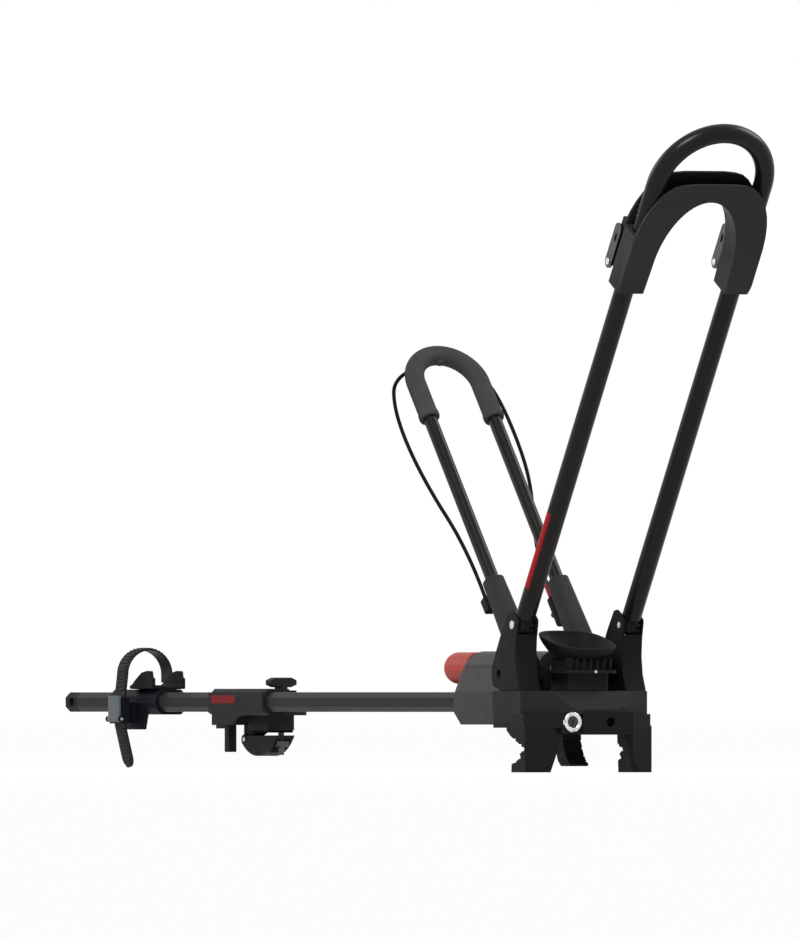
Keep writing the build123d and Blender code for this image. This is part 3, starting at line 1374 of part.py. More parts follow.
# Rear wheel tray: a sleeve on the rail with an apron and a boss for the buckle
tray_outer_y = rail_width / 2 + tray_wall
with BuildPart() as tray_sleeve:
    with BuildSketch(Plane.YZ.offset(tray_rear_x)):
        rail_section(tray_wall)
    extrude(amount=tray_front_x - tray_rear_x)
    chamfer(tray_sleeve.faces().sort_by(Axis.X)[0].outer_wire().edges(), tray_wall / 2)
    with BuildSketch(Plane.XZ.offset(tray_outer_y - tray_wall / 2)):
        flare = (tray_apron_front_x - tray_apron_rear_x) / 4
        Polygon(
            (tray_apron_rear_x - flare, rail_mid_z), (tray_apron_rear_x, rail_low_z),
            (tray_apron_rear_x + flare, tray_apron_low_z), (tray_apron_front_x, tray_apron_low_z),
            (tray_apron_front_x + flare / 2, rail_low_z), (tray_apron_front_x + 2 * flare, rail_mid_z),
            align=None,
        )
    extrude(amount=tray_wall)
    with BuildSketch(Plane.XZ.offset(tray_outer_y)):
        with Locations((strap_x, (buckle_low_z + rail_mid_z) / 2)):
            Rectangle(buckle_half_width, rail_mid_z - buckle_low_z)
    extrude(amount=-buckle_inner_y - tray_outer_y)
    with BuildSketch(Plane.YZ.offset(tray_rear_x - overrun)):
        rail_section(slide_gap)
    extrude(amount=tray_front_x - tray_rear_x + 2 * overrun, mode=Mode.SUBTRACT)
finish(tray_sleeve.part, "tray_sleeve")

# Trough for the rear tyre: a floor with a hooked wing on each side
wing_length = wing_front_x - wing_rear_x
wing_shares = (
    (0.0, 0.0), (1.0, 0.0), (1.0, 0.55), (0.93, 0.62), (0.90, 0.98), (0.72, 1.0), (0.50, 0.90), (0.22, 0.45),
)
with BuildPart() as wheel_trough:
    with BuildSketch(Plane.YZ.offset(wing_rear_x)):
        wing_outer_y = wing_half_gap + wing_thickness
        Polygon(
            (-wing_outer_y, trough_floor_z - wing_thickness), (-rail_width / 4, rail_top_z + tray_wall),
            (rail_width / 4, rail_top_z + tray_wall), (wing_outer_y, trough_floor_z - wing_thickness),
            (wing_outer_y, trough_floor_z), (-wing_outer_y, trough_floor_z), align=None,
        )
    extrude(amount=wing_length)
    for side, label in sides:
        with BuildSketch(Plane.XZ.offset(-side * wing_half_gap)):
            Polygon(
                *spread(wing_shares, wing_rear_x, wing_low_z, wing_length, wing_top_z - wing_low_z), align=None
            )
            fillet(vertices().group_by(Axis.Y)[-1], wing_thickness / 2)
        extrude(amount=-side * wing_thickness)
    # Hollow for the tyre's tread
    with BuildSketch(Plane.YZ.offset(wing_rear_x - overrun)):
        with Locations((0, trough_floor_z + wing_half_gap - tread_sink - side_gap)):
            Circle(wing_half_gap - side_gap)
    extrude(amount=wing_length + 2 * overrun, mode=Mode.SUBTRACT)
finish(wheel_trough.part, "wheel_trough")

# Toothed strap over the tyre, through the buckle and down
strap_left_y = wing_outer_y + strap_thickness / 2 + side_gap
arch_radius = (strap_left_y - strap_arch_right_y) / 2
arch_y = (strap_left_y + strap_arch_right_y) / 2
with BuildPart() as wheel_strap:
    with BuildSketch(Plane.YZ.offset(strap_x - strap_width / 2)):
        with BuildLine() as strap_line:
            Line((strap_left_y, strap_far_low_z), (strap_left_y, strap_arch_z))
            ThreePointArc(
                (strap_left_y, strap_arch_z), (arch_y, strap_arch_z + arch_radius),
                (strap_arch_right_y, strap_arch_z),
            )
            Line((strap_arch_right_y, strap_arch_z), (strap_buckle_y, strap_buckle_top_z))
            Line((strap_buckle_y, strap_buckle_top_z), (strap_buckle_y, strap_buckle_low_z))
            Line((strap_buckle_y, strap_buckle_low_z), (strap_tail_y, strap_tail_low_z))
        trace(line_width=strap_thickness)
    extrude(amount=strap_width)
    # Rounded end of the tail
    tail = Vector(0, strap_tail_y - strap_buckle_y, strap_tail_low_z - strap_buckle_low_z).normalized()
    tail_plane = Plane(
        origin=(strap_x, strap_tail_y, strap_tail_low_z), x_dir=(1, 0, 0), z_dir=Vector(1, 0, 0).cross(tail)
    )
    with BuildSketch(tail_plane):
        Circle(strap_width / 2)
    extrude(amount=strap_thickness / 2, both=True)
    # Teeth on the outer side, except inside the buckle
    strap_wire = strap_line.wires()[0]
    tooth_count = int(strap_wire.length / strap_tooth_pitch)
    with BuildSketch(Plane.YZ.offset(strap_x - strap_width / 2 + strap_thickness)):
        for tooth in range(first_tooth, tooth_count):
            share = tooth / tooth_count
            spot, heading = strap_wire @ share, strap_wire % share
            outward = Vector(heading.Y, -heading.X)
            clear_of_buckle = spot.Y > strap_buckle_top_z + overrun or spot.Y < buckle_low_z - overrun / 2
            if clear_of_buckle:
                seat = spot + outward * (strap_thickness + strap_tooth_height - strap_tooth_root) / 2
                with Locations(Location((seat.X, seat.Y), math.degrees(math.atan2(heading.Y, heading.X)))):
                    Rectangle(strap_tooth_width, strap_tooth_height + strap_tooth_root)
    extrude(amount=strap_width - 2 * strap_thickness)
finish(wheel_strap.part, "wheel_strap")

# Screw that holds the strap's fixed end to the left wing
with BuildPart() as strap_screw:
    screw_seat_y = strap_left_y + strap_thickness / 2
    with BuildSketch(Plane.XZ.offset(-screw_seat_y)):
        with Locations((strap_x, strap_far_low_z + 2 * screw_head_radius)):
            Circle(screw_head_radius)
    extrude(amount=-screw_head_height)
finish(strap_screw.part, "strap_screw")

# Ratchet buckle on the right
with BuildPart() as buckle_body:
    with BuildSketch(Plane.XY.offset(buckle_low_z)):
        with Locations((strap_x, (buckle_outer_y + overrun / 2 + buckle_inner_y) / 2)):
            Rectangle(2 * buckle_half_width, buckle_inner_y - buckle_outer_y - overrun / 2)
    extrude(amount=buckle_top_z - buckle_low_z)
    with BuildSketch(Plane.XY.offset(buckle_low_z - overrun)):
        with Locations((strap_x, strap_buckle_y)):
            Rectangle(strap_width + 2 * side_gap, strap_thickness + 2 * side_gap)
    extrude(amount=buckle_top_z, mode=Mode.SUBTRACT)
    for end in (-1, 1):
        ear_x = strap_x + end * (buckle_half_width - buckle_wall / 2)
        with BuildSketch(Plane.YZ.offset(ear_x)):
            with Locations((buckle_outer_y, lever_pin_z)):
                Circle(2 * lever_pin_radius)
            with Locations((buckle_outer_y + overrun / 2, lever_pin_z)):
                Rectangle(overrun, 4 * lever_pin_radius)
        extrude(amount=buckle_wall / 2, both=True)
    # Room for the lever's barrel, and the pin's hole through both ears
    with BuildSketch(Plane.YZ.offset(strap_x)):
        with Locations((buckle_outer_y, lever_pin_z)):
            Circle(2 * lever_pin_radius + side_gap)
    extrude(amount=lever_half_width + side_gap, both=True, mode=Mode.SUBTRACT)
    with BuildSketch(Plane.YZ.offset(strap_x)):
        with Locations((buckle_outer_y, lever_pin_z)):
            Circle(lever_pin_radius)
    extrude(amount=2 * buckle_half_width, both=True, mode=Mode.SUBTRACT)
finish(buckle_body.part, "buckle_body")

with BuildPart() as lever_pin:
    with BuildSketch(Plane.YZ.offset(strap_x)):
        with Locations((buckle_outer_y, lever_pin_z)):
            Circle(lever_pin_radius)
    extrude(amount=buckle_half_width + buckle_wall / 2, both=True)
finish(lever_pin.part, "lever_pin")

with BuildPart() as buckle_lever:
    with BuildSketch(Plane.YZ.offset(strap_x)):
        with Locations((buckle_outer_y, lever_pin_z)):
            Circle(2 * lever_pin_radius)
        lever_mid_z = (lever_pin_z + lever_top_z) / 2
        with Locations((buckle_outer_y - lever_pin_radius + lever_thickness / 2, lever_mid_z)):
            Rectangle(lever_thickness, lever_top_z - lever_pin_z)
        with Locations((buckle_outer_y, lever_pin_z)):
            Circle(lever_pin_radius + running_gap, mode=Mode.SUBTRACT)
    extrude(amount=lever_half_width, both=True)
finish(buckle_lever.part, "buckle_lever")
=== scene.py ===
"""Looks of a roof mounted bike carrier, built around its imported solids.

Lengths are metres in the carrier's own frame: +X to the head end, +Y to the left, +Z up.
"""

import logging
import math
from dataclasses import dataclass, field
from enum import Enum

import bpy
import bmesh
import numpy as np
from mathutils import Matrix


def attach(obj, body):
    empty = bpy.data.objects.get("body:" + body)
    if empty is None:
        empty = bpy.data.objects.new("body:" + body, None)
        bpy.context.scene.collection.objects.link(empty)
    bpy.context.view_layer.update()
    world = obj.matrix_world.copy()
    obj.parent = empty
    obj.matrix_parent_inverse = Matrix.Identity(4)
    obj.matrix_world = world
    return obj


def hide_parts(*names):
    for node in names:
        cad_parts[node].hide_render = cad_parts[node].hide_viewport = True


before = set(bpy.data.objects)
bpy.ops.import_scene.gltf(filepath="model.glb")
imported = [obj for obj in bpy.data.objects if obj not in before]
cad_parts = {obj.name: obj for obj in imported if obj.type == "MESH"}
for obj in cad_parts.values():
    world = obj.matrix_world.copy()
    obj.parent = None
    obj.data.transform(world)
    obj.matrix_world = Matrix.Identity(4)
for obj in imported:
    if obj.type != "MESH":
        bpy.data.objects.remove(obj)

LOG = logging.getLogger("bike_carrier")
Points = np.ndarray
MM = 0.001
# The knob and the grip stay this far inside their solids
INSET = 0.0001


class Side(Enum):
    """The carrier's two sides, with the sign of Y on each."""

    RIGHT = -1
    LEFT = 1


# Shader helper


class Shader:
    """A node tree that is written in short lines."""

    def __init__(self, name: str) -> None:
        """Starts an empty material.

        Args:
            name: the material's name.
        """
        self.material = bpy.data.materials.new(name)
        self.material.use_nodes = True
        self.tree = self.material.node_tree
        self.tree.nodes.clear()
        self.out = self.tree.nodes.new("ShaderNodeOutputMaterial")
        self.body = self.tree.nodes.new("ShaderNodeBsdfPrincipled")
        self.join(self.body.outputs["BSDF"], self.out.inputs["Surface"])
        self.place = self.tree.nodes.new("ShaderNodeTexCoord").outputs["Object"]

    def join(self, source: bpy.types.NodeSocket, target: bpy.types.NodeSocket) -> None:
        """Links one socket to another."""
        self.tree.links.new(source, target)

    def stretched(self, scale: tuple[float, float, float]) -> bpy.types.NodeSocket:
        """Object coordinates with another scale on each axis.

        Args:
            scale: the factor on X, Y and Z.

        Returns:
            The vector socket.
        """
        node = self.tree.nodes.new("ShaderNodeMapping")
        node.inputs["Scale"].default_value = scale
        self.join(self.place, node.inputs["Vector"])
        return node.outputs["Vector"]

    def noise(
        self, scale: float, detail: float = 2.0, rough: float = 0.5,
        vector: bpy.types.NodeSocket | None = None,
    ) -> bpy.types.NodeSocket:
        """A cloud of values round one half.

        Args:
            scale: patches to a metre.
            detail: octaves.
            rough: how strong the finer octaves are.
            vector: where the pattern is read, Object coordinates if none.

        Returns:
            The value socket.
        """
        node = self.tree.nodes.new("ShaderNodeTexNoise")
        node.inputs["Scale"].default_value = scale
        node.inputs["Detail"].default_value = detail
        node.inputs["Roughness"].default_value = rough
        self.join(vector or self.place, node.inputs["Vector"])
        return node.outputs["Fac"]

    def span(
        self, value: bpy.types.NodeSocket, low: float, high: float, start: float = 0.3, stop: float = 0.7,
    ) -> bpy.types.NodeSocket:
        """Maps the values from start to stop onto low to high.

        Args:
            value: the value to map.
            low: result at start.
            high: result at stop.
            start: lowest value read.
            stop: highest value read.

        Returns:
            The mapped value, held inside low and high.
        """
        node = self.tree.nodes.new("ShaderNodeMapRange")
        node.inputs["From Min"].default_value = start
        node.inputs["From Max"].default_value = stop
        node.inputs["To Min"].default_value = low
        node.inputs["To Max"].default_value = high
        self.join(value, node.inputs["Value"])
        return node.outputs["Result"]

    def blend(
        self, share: bpy.types.NodeSocket, first: tuple | bpy.types.NodeSocket,
        second: tuple | bpy.types.NodeSocket,
    ) -> bpy.types.NodeSocket:
        """Goes from one colour to another.

        Args:
            share: 0 gives the first colour, 1 the second.
            first: a colour or a colour socket.
            second: a colour or a colour socket.

        Returns:
            The colour socket.
        """
        node = self.tree.nodes.new("ShaderNodeMix")
        node.data_type = "RGBA"
        self.join(share, node.inputs[0])
        for place, colour in ((6, first), (7, second)):
            if isinstance(colour, tuple):
                node.inputs[place].default_value = (*colour, 1.0)
            else:
                self.join(colour, node.inputs[place])
        return node.outputs[2]

    def math(
        self, kind: str, first: bpy.types.NodeSocket, second: bpy.types.NodeSocket | float
    ) -> bpy.types.NodeSocket:
        """One sum on values.

        Args:
            kind: the operation's name, such as MULTIPLY.
            first: the first value.
            second: the second value or a number.

        Returns:
            The result.
        """
        node = self.tree.nodes.new("ShaderNodeMath")
        node.operation = kind
        node.use_clamp = True
        self.join(first, node.inputs[0])
        if isinstance(second, float):
            node.inputs[1].default_value = second
        else:
            self.join(second, node.inputs[1])
        return node.outputs[0]

    def rounded(self, radius: float) -> tuple[bpy.types.NodeSocket, bpy.types.NodeSocket]:
        """Edges that shade as if rounded, and where they are.

        Args:
            radius: the edge's radius.

        Returns:
            The rounded normal, and a value that rises to 1 on the edges.
        """
        bevel = self.tree.nodes.new("ShaderNodeBevel")
        bevel.samples = 4
        bevel.inputs["Radius"].default_value = radius
        plain = self.tree.nodes.new("ShaderNodeNewGeometry")
        cross = self.tree.nodes.new("ShaderNodeVectorMath")
        cross.operation = "DOT_PRODUCT"
        self.join(bevel.outputs["Normal"], cross.inputs[0])
        self.join(plain.outputs["Normal"], cross.inputs[1])
        edge = self.span(cross.outputs["Value"], 1.0, 0.0, start=0.86, stop=0.995)
        return bevel.outputs["Normal"], edge

    def bump(
        self, height: bpy.types.NodeSocket, depth: float, normal: bpy.types.NodeSocket | None = None
    ) -> bpy.types.NodeSocket:
        """Tiny relief.

        Args:
            height: the relief's height, 0 to 1.
            depth: the real depth of the relief.
            normal: the normal under it.

        Returns:
            The normal socket.
        """
        node = self.tree.nodes.new("ShaderNodeBump")
        node.inputs["Strength"].default_value = 1.0
        node.inputs["Distance"].default_value = depth
        self.join(height, node.inputs["Height"])
        if normal is not None:
            self.join(normal, node.inputs["Normal"])
        return node.outputs["Normal"]


# Finishes


@dataclass(frozen=True)
class Finish:
    """What all finishes share: a name, the record's slot and a main colour."""

    name: str
    slot: str
    colour: tuple[float, float, float]

    def tint(self, factor: float) -> tuple[float, float, float]:
        """The main colour made lighter or darker."""
        return tuple(min(1.0, part * factor) for part in self.colour)

    def write(self, shader: Shader) -> None:
        """Adds the finish's own nodes to a shader."""
        raise NotImplementedError

    def material(self) -> bpy.types.Material:
        """The Blender material, made once.

        Returns:
            The material of this finish.
        """
        name = f"{self.name}_finish"
        known = bpy.data.materials.get(name)
        if known:
            return known
        shader = Shader(name)
        self.write(shader)
        return shader.material


@dataclass(frozen=True)
class Moulded(Finish):
    """Injection moulded plastic: fine spark grain, faint flow marks, edges rubbed lighter."""

    rough: float = 0.5
    grain: float = 1400.0
    grain_depth: float = 0.00005
    edge_radius: float = 0.0009
    rubbed: float = 2.3
    shine: float = 0.05

    def write(self, shader: Shader) -> None:
        """Adds grain, flow marks and rubbed edges to a shader."""
        flow = shader.noise(9.0, 3.0, 0.6)
        speck = shader.noise(self.grain, 1.0)
        marks = shader.noise(60.0, 4.0, 0.7, shader.stretched((1.0, 5.0, 2.0)))
        normal, edge = shader.rounded(self.edge_radius)
        base = shader.blend(shader.span(flow, 0.0, 1.0), self.tint(0.84), self.tint(1.18))
        base = shader.blend(shader.span(speck, 0.0, 0.22), base, self.tint(1.5))
        wear = shader.math("MULTIPLY", edge, shader.span(marks, 0.10, 0.75))
        base = shader.blend(wear, base, self.tint(self.rubbed))
        shader.join(base, shader.body.inputs["Base Color"])
        worn = shader.span(marks, self.rough - 0.07, self.rough + 0.09)
        shader.join(worn, shader.body.inputs["Roughness"])
        shader.body.inputs["Specular IOR Level"].default_value = self.shine
        shader.join(shader.bump(speck, self.grain_depth, normal), shader.body.inputs["Normal"])


@dataclass(frozen=True)
class Painted(Finish):
    """Powder coat on metal: a soft skin with orange peel and a few dull patches."""

    rough: float = 0.36
    peel: float = 420.0
    peel_depth: float = 0.00004
    coat: float = 0.25
    edge_radius: float = 0.0008
    shine: float = 0.06
    coat_rough: float = 0.20

    def write(self, shader: Shader) -> None:
        """Adds orange peel and dull patches to a shader."""
        peel = shader.noise(self.peel, 2.0)
        cloud = shader.noise(14.0, 4.0, 0.6)
        normal, edge = shader.rounded(self.edge_radius)
        base = shader.blend(shader.span(cloud, 0.0, 1.0), self.tint(0.88), self.tint(1.14))
        base = shader.blend(shader.math("MULTIPLY", edge, 0.5), base, self.tint(1.8))
        shader.join(base, shader.body.inputs["Base Color"])
        shader.join(shader.span(cloud, self.rough - 0.05, self.rough + 0.08), shader.body.inputs["Roughness"])
        shader.body.inputs["Specular IOR Level"].default_value = self.shine
        shader.body.inputs["Coat Weight"].default_value = self.coat
        shader.body.inputs["Coat Roughness"].default_value = self.coat_rough
        shader.join(shader.bump(peel, self.peel_depth, normal), shader.body.inputs["Normal"])


@dataclass(frozen=True)
class Metal(Finish):
    """Bare or plated metal with fine drawn lines."""

    rough: float = 0.3
    lines: tuple[float, float, float] = (30.0, 900.0, 900.0)
    line_depth: float = 0.00002
    edge_radius: float = 0.0004

    def write(self, shader: Shader) -> None:
        """Adds drawn lines and a little staining to a shader."""
        lines = shader.noise(1.0, 3.0, 0.6, shader.stretched(self.lines))
        stain = shader.noise(70.0, 4.0, 0.65)
        normal, edge = shader.rounded(self.edge_radius)
        base = shader.blend(shader.span(stain, 0.0, 1.0), self.tint(0.78), self.tint(1.12))
        base = shader.blend(shader.math("MULTIPLY", edge, 0.6), base, self.tint(1.5))
        shader.join(base, shader.body.inputs["Base Color"])
        shader.body.inputs["Metallic"].default_value = 1.0
        shader.join(shader.span(lines, self.rough - 0.08, self.rough + 0.12), shader.body.inputs["Roughness"])
        shader.join(shader.bump(lines, self.line_depth, normal), shader.body.inputs["Normal"])


@dataclass(frozen=True)
class Rubber(Finish):
    """Matt rubber with a dusty bloom and a soft pebble."""

    rough: float = 0.72
    pebble: float = 900.0
    pebble_depth: float = 0.00009
    edge_radius: float = 0.0008
    shine: float = 0.03

    def write(self, shader: Shader) -> None:
        """Adds bloom and pebble to a shader."""
        bloom = shader.noise(28.0, 5.0, 0.7)
        pebble = shader.noise(self.pebble, 2.0)
        normal, _ = shader.rounded(self.edge_radius)
        base = shader.blend(shader.span(bloom, 0.0, 1.0), self.tint(0.85), self.tint(1.22))
        shader.join(base, shader.body.inputs["Base Color"])
        shader.join(shader.span(bloom, self.rough - 0.06, self.rough + 0.08), shader.body.inputs["Roughness"])
        shader.body.inputs["Specular IOR Level"].default_value = self.shine
        shader.join(shader.bump(pebble, self.pebble_depth, normal), shader.body.inputs["Normal"])


@dataclass(frozen=True)
class Film(Finish):
    """Printed film on a surface, with a slightly uneven print."""

    rough: float = 0.42
    shine: float = 0.08
    print_depth: float = 0.00002

    def write(self, shader: Shader) -> None:
        """Adds print mottling to a shader."""
        wear = shader.noise(240.0, 4.0, 0.7)
        base = shader.blend(shader.span(wear, 0.0, 1.0), self.tint(0.82), self.tint(1.1))
        shader.join(base, shader.body.inputs["Base Color"])
        shader.join(shader.span(wear, self.rough - 0.06, self.rough + 0.1), shader.body.inputs["Roughness"])
        shader.body.inputs["Specular IOR Level"].default_value = self.shine
        shader.join(shader.bump(wear, self.print_depth), shader.body.inputs["Normal"])


RAIL_PAINT = Painted("rail_powder_coat", "rail_paint", (0.0175, 0.0172, 0.0172), rough=0.36, coat=0.03)
TUBE_PAINT = Painted("tube_gloss_coat", "tube_paint", (0.0092, 0.0076, 0.0062), rough=0.30, coat=0.17)
DARK_PLASTIC = Moulded("dark_housing_plastic", "dark_plastic", (0.0125, 0.0122, 0.0122))
HOUSING_PLASTIC = Moulded("housing_plastic", "dark_plastic", (0.0330, 0.0325, 0.0330), rough=0.42, shine=0.12)
TOWER_PLASTIC = Moulded("tower_plastic", "dark_plastic", (0.0098, 0.0094, 0.0088), rough=0.47)
SADDLE_PLASTIC = Moulded("saddle_plastic", "dark_plastic", (0.0320, 0.0295, 0.0265), rough=0.42)
BOOT_PLASTIC = Moulded("boot_plastic", "dark_plastic", (0.0310, 0.0310, 0.0315), rough=0.55)
COVER_PLASTIC = Moulded("cover_plastic", "grey_plastic", (0.0190, 0.0190, 0.0200), rough=0.42)
CRADLE_PLASTIC = Moulded("cradle_plastic", "grey_plastic", (0.0125, 0.0125, 0.0128), rough=0.48)
TRAY_PLASTIC = Moulded("tray_plastic", "tray_plastic", (0.0075, 0.0085, 0.0130), rough=0.46)
TROUGH_PLASTIC = Moulded("trough_plastic", "tray_plastic", (0.0110, 0.0110, 0.0112), rough=0.5)
STRAP_PLASTIC = Moulded(
    "strap_plastic", "strap_plastic", (0.0125, 0.0125, 0.0130),
    rough=0.45, edge_radius=0.0003, rubbed=2.2, shine=0.08,
)
BUCKLE_PLASTIC = Moulded("buckle_plastic", "buckle_plastic", (0.115, 0.136, 0.152), rough=0.36, rubbed=1.5)
CLAMP_PLASTIC = Moulded("clamp_plastic", "dark_plastic", (0.0215, 0.0212, 0.0212), rough=0.5)
RED_PLASTIC = Moulded("red_plastic", "red_plastic", (0.36, 0.045, 0.034), rough=0.40, rubbed=1.1, shine=0.12)
WINE_PLASTIC = Moulded("wine_red_plastic", "red_plastic", (0.25, 0.022, 0.034), rough=0.36, rubbed=1.2)
GRIP_RUBBER = Rubber("grip_rubber", "grip_rubber", (0.0560, 0.0560, 0.0570))
PAD_RUBBER = Rubber("pad_rubber", "pad_rubber", (0.010, 0.010, 0.010))
CABLE_SHEATH = Rubber(
    "cable_sheath", "cable_sheath", (0.0075, 0.0075, 0.0080), rough=0.4, pebble_depth=0.00002,
)
ZINC = Metal("zinc_plate", "zinc_steel", (0.62, 0.62, 0.63), rough=0.28)
DARK_STEEL = Metal("lever_steel", "lever_steel", (0.065, 0.065, 0.070), rough=0.36)
OILED_STEEL = Metal("oiled_steel", "zinc_steel", (0.085, 0.085, 0.088), rough=0.40)
CHROME = Metal("lock_ring_metal", "chrome", (0.72, 0.72, 0.74), rough=0.22)
LOCK_DARK = Metal("lock_core_metal", "lock_dark", (0.055, 0.055, 0.060), rough=0.35)
RED_FILM = Film("red_stripe_film", "red_plastic", (0.34, 0.008, 0.012))
DARK_RED_FILM = Film("dark_red_label_film", "red_plastic", (0.20, 0.006, 0.008))
PALE_FILM = Film("pale_tick_film", "grey_plastic", (0.55, 0.54, 0.52))


# Mesh helpers


def unit(vector: Points) -> Points:
    """Vectors of length one along the last axis."""
    return vector / np.linalg.norm(vector, axis=-1, keepdims=True)


def dressed(name: str, mesh: bpy.types.Mesh, finish: Finish, smooth: float) -> bpy.types.Object:
    """Shades a mesh smoothly by angle, gives it its finish and puts it into the scene.

    Args:
        name: the object's name.
        mesh: its mesh.
        finish: what it is made of.
        smooth: edges sharper than this many degrees stay sharp.

    Returns:
        The new object.
    """
    mesh.polygons.foreach_set("use_smooth", np.ones(len(mesh.polygons), bool))
    mesh.set_sharp_from_angle(angle=math.radians(smooth))
    mesh.materials.append(finish.material())
    piece = bpy.data.objects.new(name, mesh)
    bpy.context.scene.collection.objects.link(piece)
    return piece


def publish(
    name: str, vertices: Points, faces: list, finish: Finish, body: str, replaces: tuple[str, ...] = (),
    smooth: float = 35.0,
) -> bpy.types.Object:
    """Makes a piece from vertices and faces, dresses it and lets it ride.

    Args:
        name: the piece's name.
        vertices: (n, 3) array.
        faces: lists of vertex numbers.
        finish: what it is made of.
        body: the CAD body that carries it.
        replaces: the CAD nodes that it stands for.
        smooth: edges sharper than this many degrees stay sharp.

    Returns:
        The new object.
    """
    mesh = bpy.data.meshes.new(name)
    mesh.from_pydata(vertices.reshape(-1, 3).tolist(), [], faces)
    work = bmesh.new()
    work.from_mesh(mesh)
    bmesh.ops.remove_doubles(work, verts=work.verts, dist=0.00001)
    bmesh.ops.recalc_face_normals(work, faces=work.faces)
    work.to_mesh(mesh)
    work.free()
    piece = dressed(name, mesh, finish, smooth)
    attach(piece, body)
    if replaces:
        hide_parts(*replaces)
    LOG.info("%s: %d faces on %s", name, len(mesh.polygons), body)
    return piece


def grid_faces(rows: int, columns: int, wrap: bool = True) -> list:
    """Quads of a grid whose vertices are numbered row by row.

    Args:
        rows: number of rows.
        columns: number of vertices in a row.
        wrap: whether each row closes on itself.

    Returns:
        The quads as lists.
    """
    row = np.arange(rows - 1)[:, None] * columns
    column = np.arange(columns if wrap else columns - 1)[None, :]
    after = (column + 1) % columns
    quads = np.stack([row + column, row + after, row + columns + after, row + columns + column], axis=-1)
    return quads.reshape(-1, 4).tolist()


def swept(path: Points, across: Points, ring: Points) -> tuple[Points, list]:
    """Carries a ring along a path that lies in a plane, and caps both ends.

    Each vertex is the path point plus the ring's first value along the direction that lies in the
    plane at right angles to the path, plus its second value along the plane's normal.

    Args:
        path: (n, 3) points.
        across: the plane's normal.
        ring: (n, m, 2) or (m, 2) ring values.

    Returns:
        The vertices and the faces.
    """
    tangent = unit(np.gradient(path, axis=0))
    inward = unit(np.cross(across, tangent))
    ring = np.broadcast_to(ring, (len(path), *ring.shape[-2:]))
    points = path[:, None, :] + ring[..., :1] * inward[:, None, :] + ring[..., 1:] * across
    count, around = points.shape[:2]
    faces = grid_faces(count, around)
    faces.append(list(range(around)))
    faces.append(list(range((count - 1) * around, count * around)))
    return points.reshape(-1, 3), faces


def circle(radius: float | Points, around: int = 32) -> Points:
    """Points on a circle, one ring or one for each radius.

    Args:
        radius: one radius or an array of them.
        around: points on the ring.

    Returns:
        (m, 2) or (n, m, 2) values.
    """
    angle = np.linspace(0, 2 * np.pi, around, endpoint=False)
    ring = np.stack([np.cos(angle), np.sin(angle)], axis=-1)
    return np.asarray(radius)[..., None, None] * ring


def resampled(corners: Points, count: int) -> Points:
    """Evenly spaced points along straight runs.

    Args:
        corners: (k, 3) points.
        count: how many points to return.

    Returns:
        (count, 3) points.
    """
    step = np.r_[0, np.cumsum(np.linalg.norm(np.diff(corners, axis=0), axis=1))]
    want = np.linspace(0, step[-1], count)
    return np.stack([np.interp(want, step, corners[:, axis]) for axis in range(3)], axis=1)


def softened(
    node: str, finish: Finish, body: str, width: float = 0.0008, smooth: float = 30.0,
) -> bpy.types.Object:
    """A copy of a solid with its doubles merged, its flat faces joined and its edges rounded.

    Args:
        node: the CAD node that is copied and replaced.
        finish: what it is made of.
        body: the CAD body that carries it.
        width: the rounding's width.
        smooth: edges sharper than this many degrees are rounded.

    Returns:
        The new object.
    """
    name = f"{node}_shell"
    mesh = bpy.data.meshes.new(name)
    work = bmesh.new()
    work.from_mesh(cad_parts[node].data)
    bmesh.ops.remove_doubles(work, verts=work.verts, dist=0.000005)
    bmesh.ops.dissolve_limit(
        work, angle_limit=math.radians(1.0), verts=work.verts, edges=work.edges, use_dissolve_boundaries=False
    )
    work.to_mesh(mesh)
    work.free()
    piece = dressed(name, mesh, finish, smooth)
    if width:
        bevel = piece.modifiers.new("rounding", "BEVEL")
        bevel.width = width
        bevel.segments = 3
        bevel.limit_method = "ANGLE"
        bevel.angle_limit = math.radians(smooth)
        bevel.use_clamp_overlap = True
        bevel.harden_normals = True
    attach(piece, body)
    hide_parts(node)
    LOG.info("%s: copied with %d faces on %s", name, len(mesh.polygons), body)
    return piece


def dress(node: str, finish: Finish) -> None:
    """Gives a CAD node its finish."""
    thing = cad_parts[node]
    thing.data.materials.clear()
    thing.data.materials.append(finish.material())
    LOG.info("%s: dressed as %s", node, finish.name)


